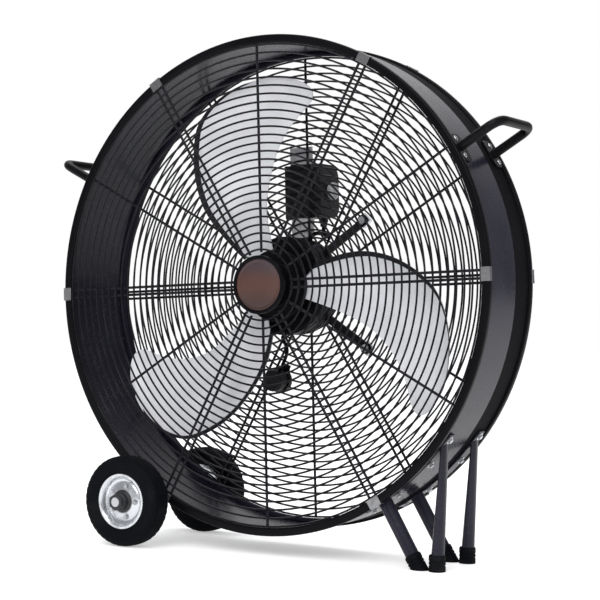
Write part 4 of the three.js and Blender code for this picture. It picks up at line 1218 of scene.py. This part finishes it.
class DRUMFAN_OT_wheels(bpy.types.Operator):
    """Tyres with grooves and notches, pressed wheels, axle, spacers and brackets"""

    bl_idname = "drumfan.wheels"
    bl_label = "Wheels"

    BOLTS = 5
    BOLT_CIRCLE = 0.0265

    def execute(self, context):
        for place, side in SIDES:
            body = f"{place}_wheel"
            ride = {"body": body, "place": Matrix.Translation(JOINTS[f"{body}_spin"]["pos_m"])}
            tyre = drawn(self.tyre, f"{place}_tyre")
            piece(f"{place}_tread_tyre", tyre, tyre_rubber, f"{place}_tyre", crease=40, **ride)
            wheel = drawn(self.wheel, side, f"{place}_wheel_rim")
            piece(f"{place}_pressed_wheel", wheel, wheel_metal, f"{place}_wheel_rim", **ride)
            bolts = bmesh.new()
            for n in range(self.BOLTS):
                at = polar(self.BOLT_CIRCLE, 360 * n / self.BOLTS, side * 0.0113)
                hex_bolt(bolts, at, (0, side, 0), 0.0033, 0.0028)
            piece(f"{place}_wheel_bolts", bolts, bright_steel, **ride)
        dress(bright_steel, "axle", bevel=0.0006)
        # The axle nuts take the wheel's finish, so they carry the painted shade of the hub.
        dress(wheel_metal, "front_axle_nut", "rear_axle_nut", bevel=0.0006)
        dress(bright_steel, "front_axle_spacer", "rear_axle_spacer")
        dress(black_paint, "front_axle_bracket", "rear_axle_bracket", bevel=0.0007)
        return {"FINISHED"}

    @staticmethod
    def tyre(mesh, node):
        """A tyre with a rounded crown, three grooves and notched shoulders."""
        outer = half_width(node, 2)
        wide = half_width(node, 1)
        bead = half_width("front_wheel_rim") + CLEARANCE
        steps = sizes().notches * 6
        crown = [(0.0, 0.0), (0.0025, 0), (0.0032, 0.0009), (0.0052, 0.0009), (0.0059, 0), (0.0105, 0.0003)]
        crown += [(0.0112, 0.0013), (0.0132, 0.0013), (0.0139, 0.0008), (0.0175, 0.0026), (0.0205, 0.0058)]
        side_wall = [(0.0219, 0.0095), (0.022, 0.0135), (0.0205, 0.0185), (0.0208, 0.0215), (0.0198, 0.0245)]
        # The half profile is drawn for a tyre 44 mm wide.
        half = [(y * wide / 0.022, drop) for y, drop in crown + side_wall]
        profile = [(bead, 0.0155)] + [(outer - drop, y) for y, drop in reversed(half)]
        profile += [(outer - drop, -y) for y, drop in half[1:]] + [(bead, -0.0155)]
        rings = []
        for step in range(steps):
            ring = []
            for radius, y in profile:
                shoulder = 0.0135 < abs(y) < 0.0215 and radius > outer - 0.012
                cut = 0.0006 if shoulder and step % 6 < 2 else 0.0
                ring.append(mesh.verts.new(polar(radius - cut, 360 * step / steps, y)))
            rings.append(ring)
        bridge(mesh, rings, looped=True)

    @staticmethod
    def wheel(mesh, side, node):
        """A dished disc with a rolled rim edge and a hub tube."""
        bore = half_width("axle") + CLEARANCE
        hub = half_width(node, 1)
        rim = half_width(node)
        edge = 0.017
        outline = [
            (bore, hub), (0.0125, hub), (0.014, hub - 0.0015), (0.0145, 0.0135), (0.017, 0.0115),
            (0.031, 0.0105), (0.034, 0.0085), (0.037, 0.0095), (0.0395, 0.0145), (0.0425, edge), (rim, edge),
            (rim, -edge), (rim - 0.004, -edge), (0.0395, -0.012), (0.0395, 0.0035), (0.036, 0.0045),
            (0.017, 0.0045), (0.0165, -hub), (bore, -hub),
        ]
        turned(mesh, [(radius, side * y) for radius, y in outline], hollow=True)


class DRUMFAN_OT_stand(bpy.types.Operator):
    """V-shaped leg frames of tube, with their plates, bolts and rubber caps"""

    bl_idname = "drumfan.stand"
    bl_label = "Stand"

    UPRIGHT = -39.25
    SLANTED = -57
    FEET_APART = 0.03
    SOLE = 0.006

    def execute(self, context):
        bolts = bmesh.new()
        for place in ("front", "rear"):
            y = middle(f"{place}_leg_frame").y
            legs = bmesh.new()
            for kind in ("upright", "slanted"):
                foot, top, degrees = self.line(kind, y)
                self.leg(legs, foot, top)
                self.bolts(bolts, degrees, y)
                cap = drawn(self.cap, foot, top)
                piece(f"{place}_{kind}_cap", cap, foot_rubber, f"{place}_{kind}_foot", place=Matrix())
            self.plate(legs, y)
            self.trim(legs)
            piece(f"{place}_leg_tubes", legs, slate_paint, f"{place}_leg_frame", place=Matrix(), bevel=0.0006)
        piece("leg_bolts", bolts, bright_steel, place=Matrix())
        return {"FINISHED"}

    def line(self, kind, y):
        """A leg's foot on the floor, its point on the drum's wall, and that point's angle."""
        degrees = self.UPRIGHT if kind == "upright" else self.SLANTED
        upright = WALL_RADIUS * math.cos(math.radians(self.UPRIGHT))
        top = FAN_AXIS + polar(WALL_RADIUS, degrees, y)
        foot_x = FAN_AXIS.x + (upright if kind == "upright" else upright - self.FEET_APART)
        return Vector((foot_x, y, 0)), top, degrees

    @staticmethod
    def leg(mesh, foot, top):
        """A tube that runs on past both ends, for trim() to cut off."""
        along = (top - foot).normalized()
        sweep(mesh, [foot - along * 0.02, top + along * 0.02], sizes().leg_tube, 32)

    def plate(self, mesh, y):
        """A plate bent round the drum, with rounded ends, that both legs are welded to."""
        centre = (self.UPRIGHT + self.SLANTED) / 2
        reach = (self.UPRIGHT - self.SLANTED) / 2 + 5
        bent_plate(mesh, WALL_RADIUS + 0.0008, centre, reach, y, 0.012, 0.85, 16, 24, FAN_AXIS)

    @staticmethod
    def bolts(mesh, degrees, y):
        """Two bolts through the plate, one on either side of a leg."""
        for turn in (-3.6, 3.6):
            at = FAN_AXIS + polar(FASTENER_RADIUS, degrees + turn, y)
            hex_bolt(mesh, at, polar(1, degrees + turn), 0.0045, 0.0034)

    def trim(self, mesh):
        """Cuts the tubes off above their caps' soles and against the drum."""
        cut_below(mesh, self.SOLE + CLEARANCE)
        wall = WALL_RADIUS + 0.0005
        for vertex in mesh.verts:
            away = vertex.co - FAN_AXIS
            radius = math.hypot(away.x, away.z)
            if radius < wall:
                scale = wall / radius
                vertex.co = FAN_AXIS + Vector((away.x * scale, away.y, away.z * scale))

    def cap(self, mesh, foot, top):
        """A rubber cap with two grooves, flat on the floor."""
        along = (top - foot).normalized()
        outer = sizes().leg_tube + 0.0023
        groove = outer - 0.0009
        inside = sizes().leg_tube + 0.0002
        profile = [(0, -0.02), (outer, -0.02)]
        for height in (0.008, 0.014):
            profile += [(outer, height), (groove, height + 0.0008), (groove, height + 0.002)]
            profile += [(outer, height + 0.0028)]
        profile += [(outer, 0.0235), (outer - 0.0008, 0.0252), (outer - 0.002, 0.026)]
        profile += [(inside, 0.026), (inside, 0.0145), (0, 0.0145)]
        turned(mesh, profile, foot, along, 40)
        bmesh.ops.remove_doubles(mesh, verts=mesh.verts, dist=SAME_POINT)
        cut_below(mesh, 0)


# ------------------------------------------------------------------ studio

CAMERA_FROM_AXIS = Vector((1.4428, -2.3317, -0.048))
CAMERA_YAW = 0.546
CAMERA_PITCH = 0.009
CAMERA_ROLL = 0.014
CAMERA_LENS = 98.15
CAMERA_SENSOR = 36.0
CAMERA_REACH = 60
LAMP_AIM = Vector((0, 0, 0.4))
FLOOR_REACH = 14.0
FLOOR_DROP = 0.0004


class DRUMFAN_OT_stage(bpy.types.Operator):
    """Floor, plain surroundings, soft lamps and the camera"""

    bl_idname = "drumfan.stage"
    bl_label = "Stage"

    def execute(self, context):
        self.floor()
        self.surroundings()
        self.lamp("key", (0.7, -3.0, 2.6), 2.2, 84)
        self.lamp("side", (2.6, -1.0, 1.6), 1.6, 7)
        self.lamp("top", (-0.6, 0.6, 3.2), 2.0, 36)
        self.camera()
        return {"FINISHED"}

    @staticmethod
    def floor():
        """A plain floor that is white to the camera and keeps the shadow."""
        ground = bmesh.new()
        stops = (-FLOOR_REACH, 0, FLOOR_REACH)
        rings = [[ground.verts.new((x, y, -FLOOR_DROP)) for x in stops] for y in stops]
        bridge(ground, rings, looped=False, closed=False)
        data = bpy.data.meshes.new("floor")
        ground.to_mesh(data)
        ground.free()
        pale = Finish("floor")
        seen, glossy = [pale.node("ShaderNodeLightPath", output=n) for n in (0, 3)]
        grain = pale.noise(30.0)
        pale.feed(pale.shader.inputs["Emission Strength"], seen * 0.4 + glossy * 0.2)
        data.materials.append(pale.surface(
            base_color=pale.blend(grain * 0.2, colour("floor"), shade(colour("floor"), 0.98)),
            roughness=0.9,
            emission_color=WHITE,
        ))
        made = bpy.data.objects.new("floor", data)
        bpy.context.scene.collection.objects.link(made)

    @staticmethod
    def surroundings():
        """White to the camera and in gloss and glass, with a dim room in front of the fan."""
        studio = Surroundings("studio")
        camera, glossy, clear = [studio.node("ShaderNodeLightPath", output=n) for n in (0, 3, 6)]
        way = studio.node("ShaderNodeTexCoord")
        aside, behind = [studio.node("ShaderNodeSeparateXYZ", None, {0: way}, n) for n in (0, 1)]
        mirrored = studio.blend(studio.band(behind, 0.3, -0.35), WHITE, (0.22, 0.22, 0.23, 1.0))
        mirrored = studio.blend(studio.band(aside, -0.15, 0.35), mirrored, (0.2, 0.2, 0.22, 1.0))
        lit = studio.blend(glossy, (0.8, 0.805, 0.82, 1.0), mirrored)
        plain = studio.math("MAXIMUM", camera, clear)
        studio.feed(studio.shader.inputs["Color"], studio.blend(plain, lit, WHITE))

    @staticmethod
    def lamp(name, place, width, power):
        light = bpy.data.lights.new(name, "AREA")
        light.shape = "SQUARE"
        light.size = width
        light.energy = power
        made = bpy.data.objects.new(name, light)
        made.location = place
        made.rotation_euler = (LAMP_AIM - Vector(place)).to_track_quat("-Z", "Y").to_euler()
        bpy.context.scene.collection.objects.link(made)

    @staticmethod
    def camera():
        """The photograph's viewpoint, worked out from the drum's two round rims."""
        level = math.cos(CAMERA_PITCH)
        aside, ahead = -math.sin(CAMERA_YAW) * level, math.cos(CAMERA_YAW) * level
        forward = Vector((aside, ahead, math.sin(CAMERA_PITCH)))
        right = forward.cross(Vector((0, 0, 1))).normalized()
        up = right.cross(forward)
        cos, sin = math.cos(CAMERA_ROLL), math.sin(CAMERA_ROLL)
        tilted_right = right * cos + up * sin
        tilted_up = up * cos - right * sin
        turned_by = Matrix((tilted_right, tilted_up, -forward)).transposed().to_4x4()
        lens = bpy.data.cameras.new("camera")
        lens.lens = CAMERA_LENS
        lens.sensor_width = CAMERA_SENSOR
        lens.clip_end = CAMERA_REACH
        made = bpy.data.objects.new("camera", lens)
        made.matrix_world = Matrix.Translation(FAN_AXIS + CAMERA_FROM_AXIS) @ turned_by
        bpy.context.scene.collection.objects.link(made)
        bpy.context.scene.camera = made


# ------------------------------------------------------------------ panel and main

OPERATORS = (
    DRUMFAN_OT_stage,
    DRUMFAN_OT_drum,
    DRUMFAN_OT_guards,
    DRUMFAN_OT_badge,
    DRUMFAN_OT_fan,
    DRUMFAN_OT_motor,
    DRUMFAN_OT_control_box,
    DRUMFAN_OT_handles,
    DRUMFAN_OT_wheels,
    DRUMFAN_OT_stand,
)


class DRUMFAN_PT_pieces(bpy.types.Panel):
    """Lists the fan's pieces in the 3D view's sidebar"""

    bl_idname = "DRUMFAN_PT_pieces"
    bl_label = "Drum fan"
    bl_space_type = "VIEW_3D"
    bl_region_type = "UI"
    bl_category = "Drum fan"

    def draw(self, context):
        for operator in OPERATORS:
            self.layout.operator(operator.bl_idname)
        for group in (context.scene.drum_fan_sizes, context.scene.drum_fan_colours):
            box = self.layout.box()
            for name in group.bl_rna.properties.keys():
                if name not in ("rna_type", "name"):
                    box.prop(group, name)


CLASSES = (DrumFanSizes, DrumFanColours) + OPERATORS + (DRUMFAN_PT_pieces,)


def register():
    for cls in CLASSES:
        bpy.utils.register_class(cls)
    bpy.types.Scene.drum_fan_sizes = bpy.props.PointerProperty(type=DrumFanSizes)
    bpy.types.Scene.drum_fan_colours = bpy.props.PointerProperty(type=DrumFanColours)


def unregister():
    del bpy.types.Scene.drum_fan_colours
    del bpy.types.Scene.drum_fan_sizes
    for cls in reversed(CLASSES):
        bpy.utils.unregister_class(cls)


def main():
    register()
    scene = bpy.context.scene
    scene.view_settings.view_transform = "Standard"
    for operator in OPERATORS:
        category, name = operator.bl_idname.split(".")
        getattr(getattr(bpy.ops, category), name)()


if __name__ == "__main__":
    main()
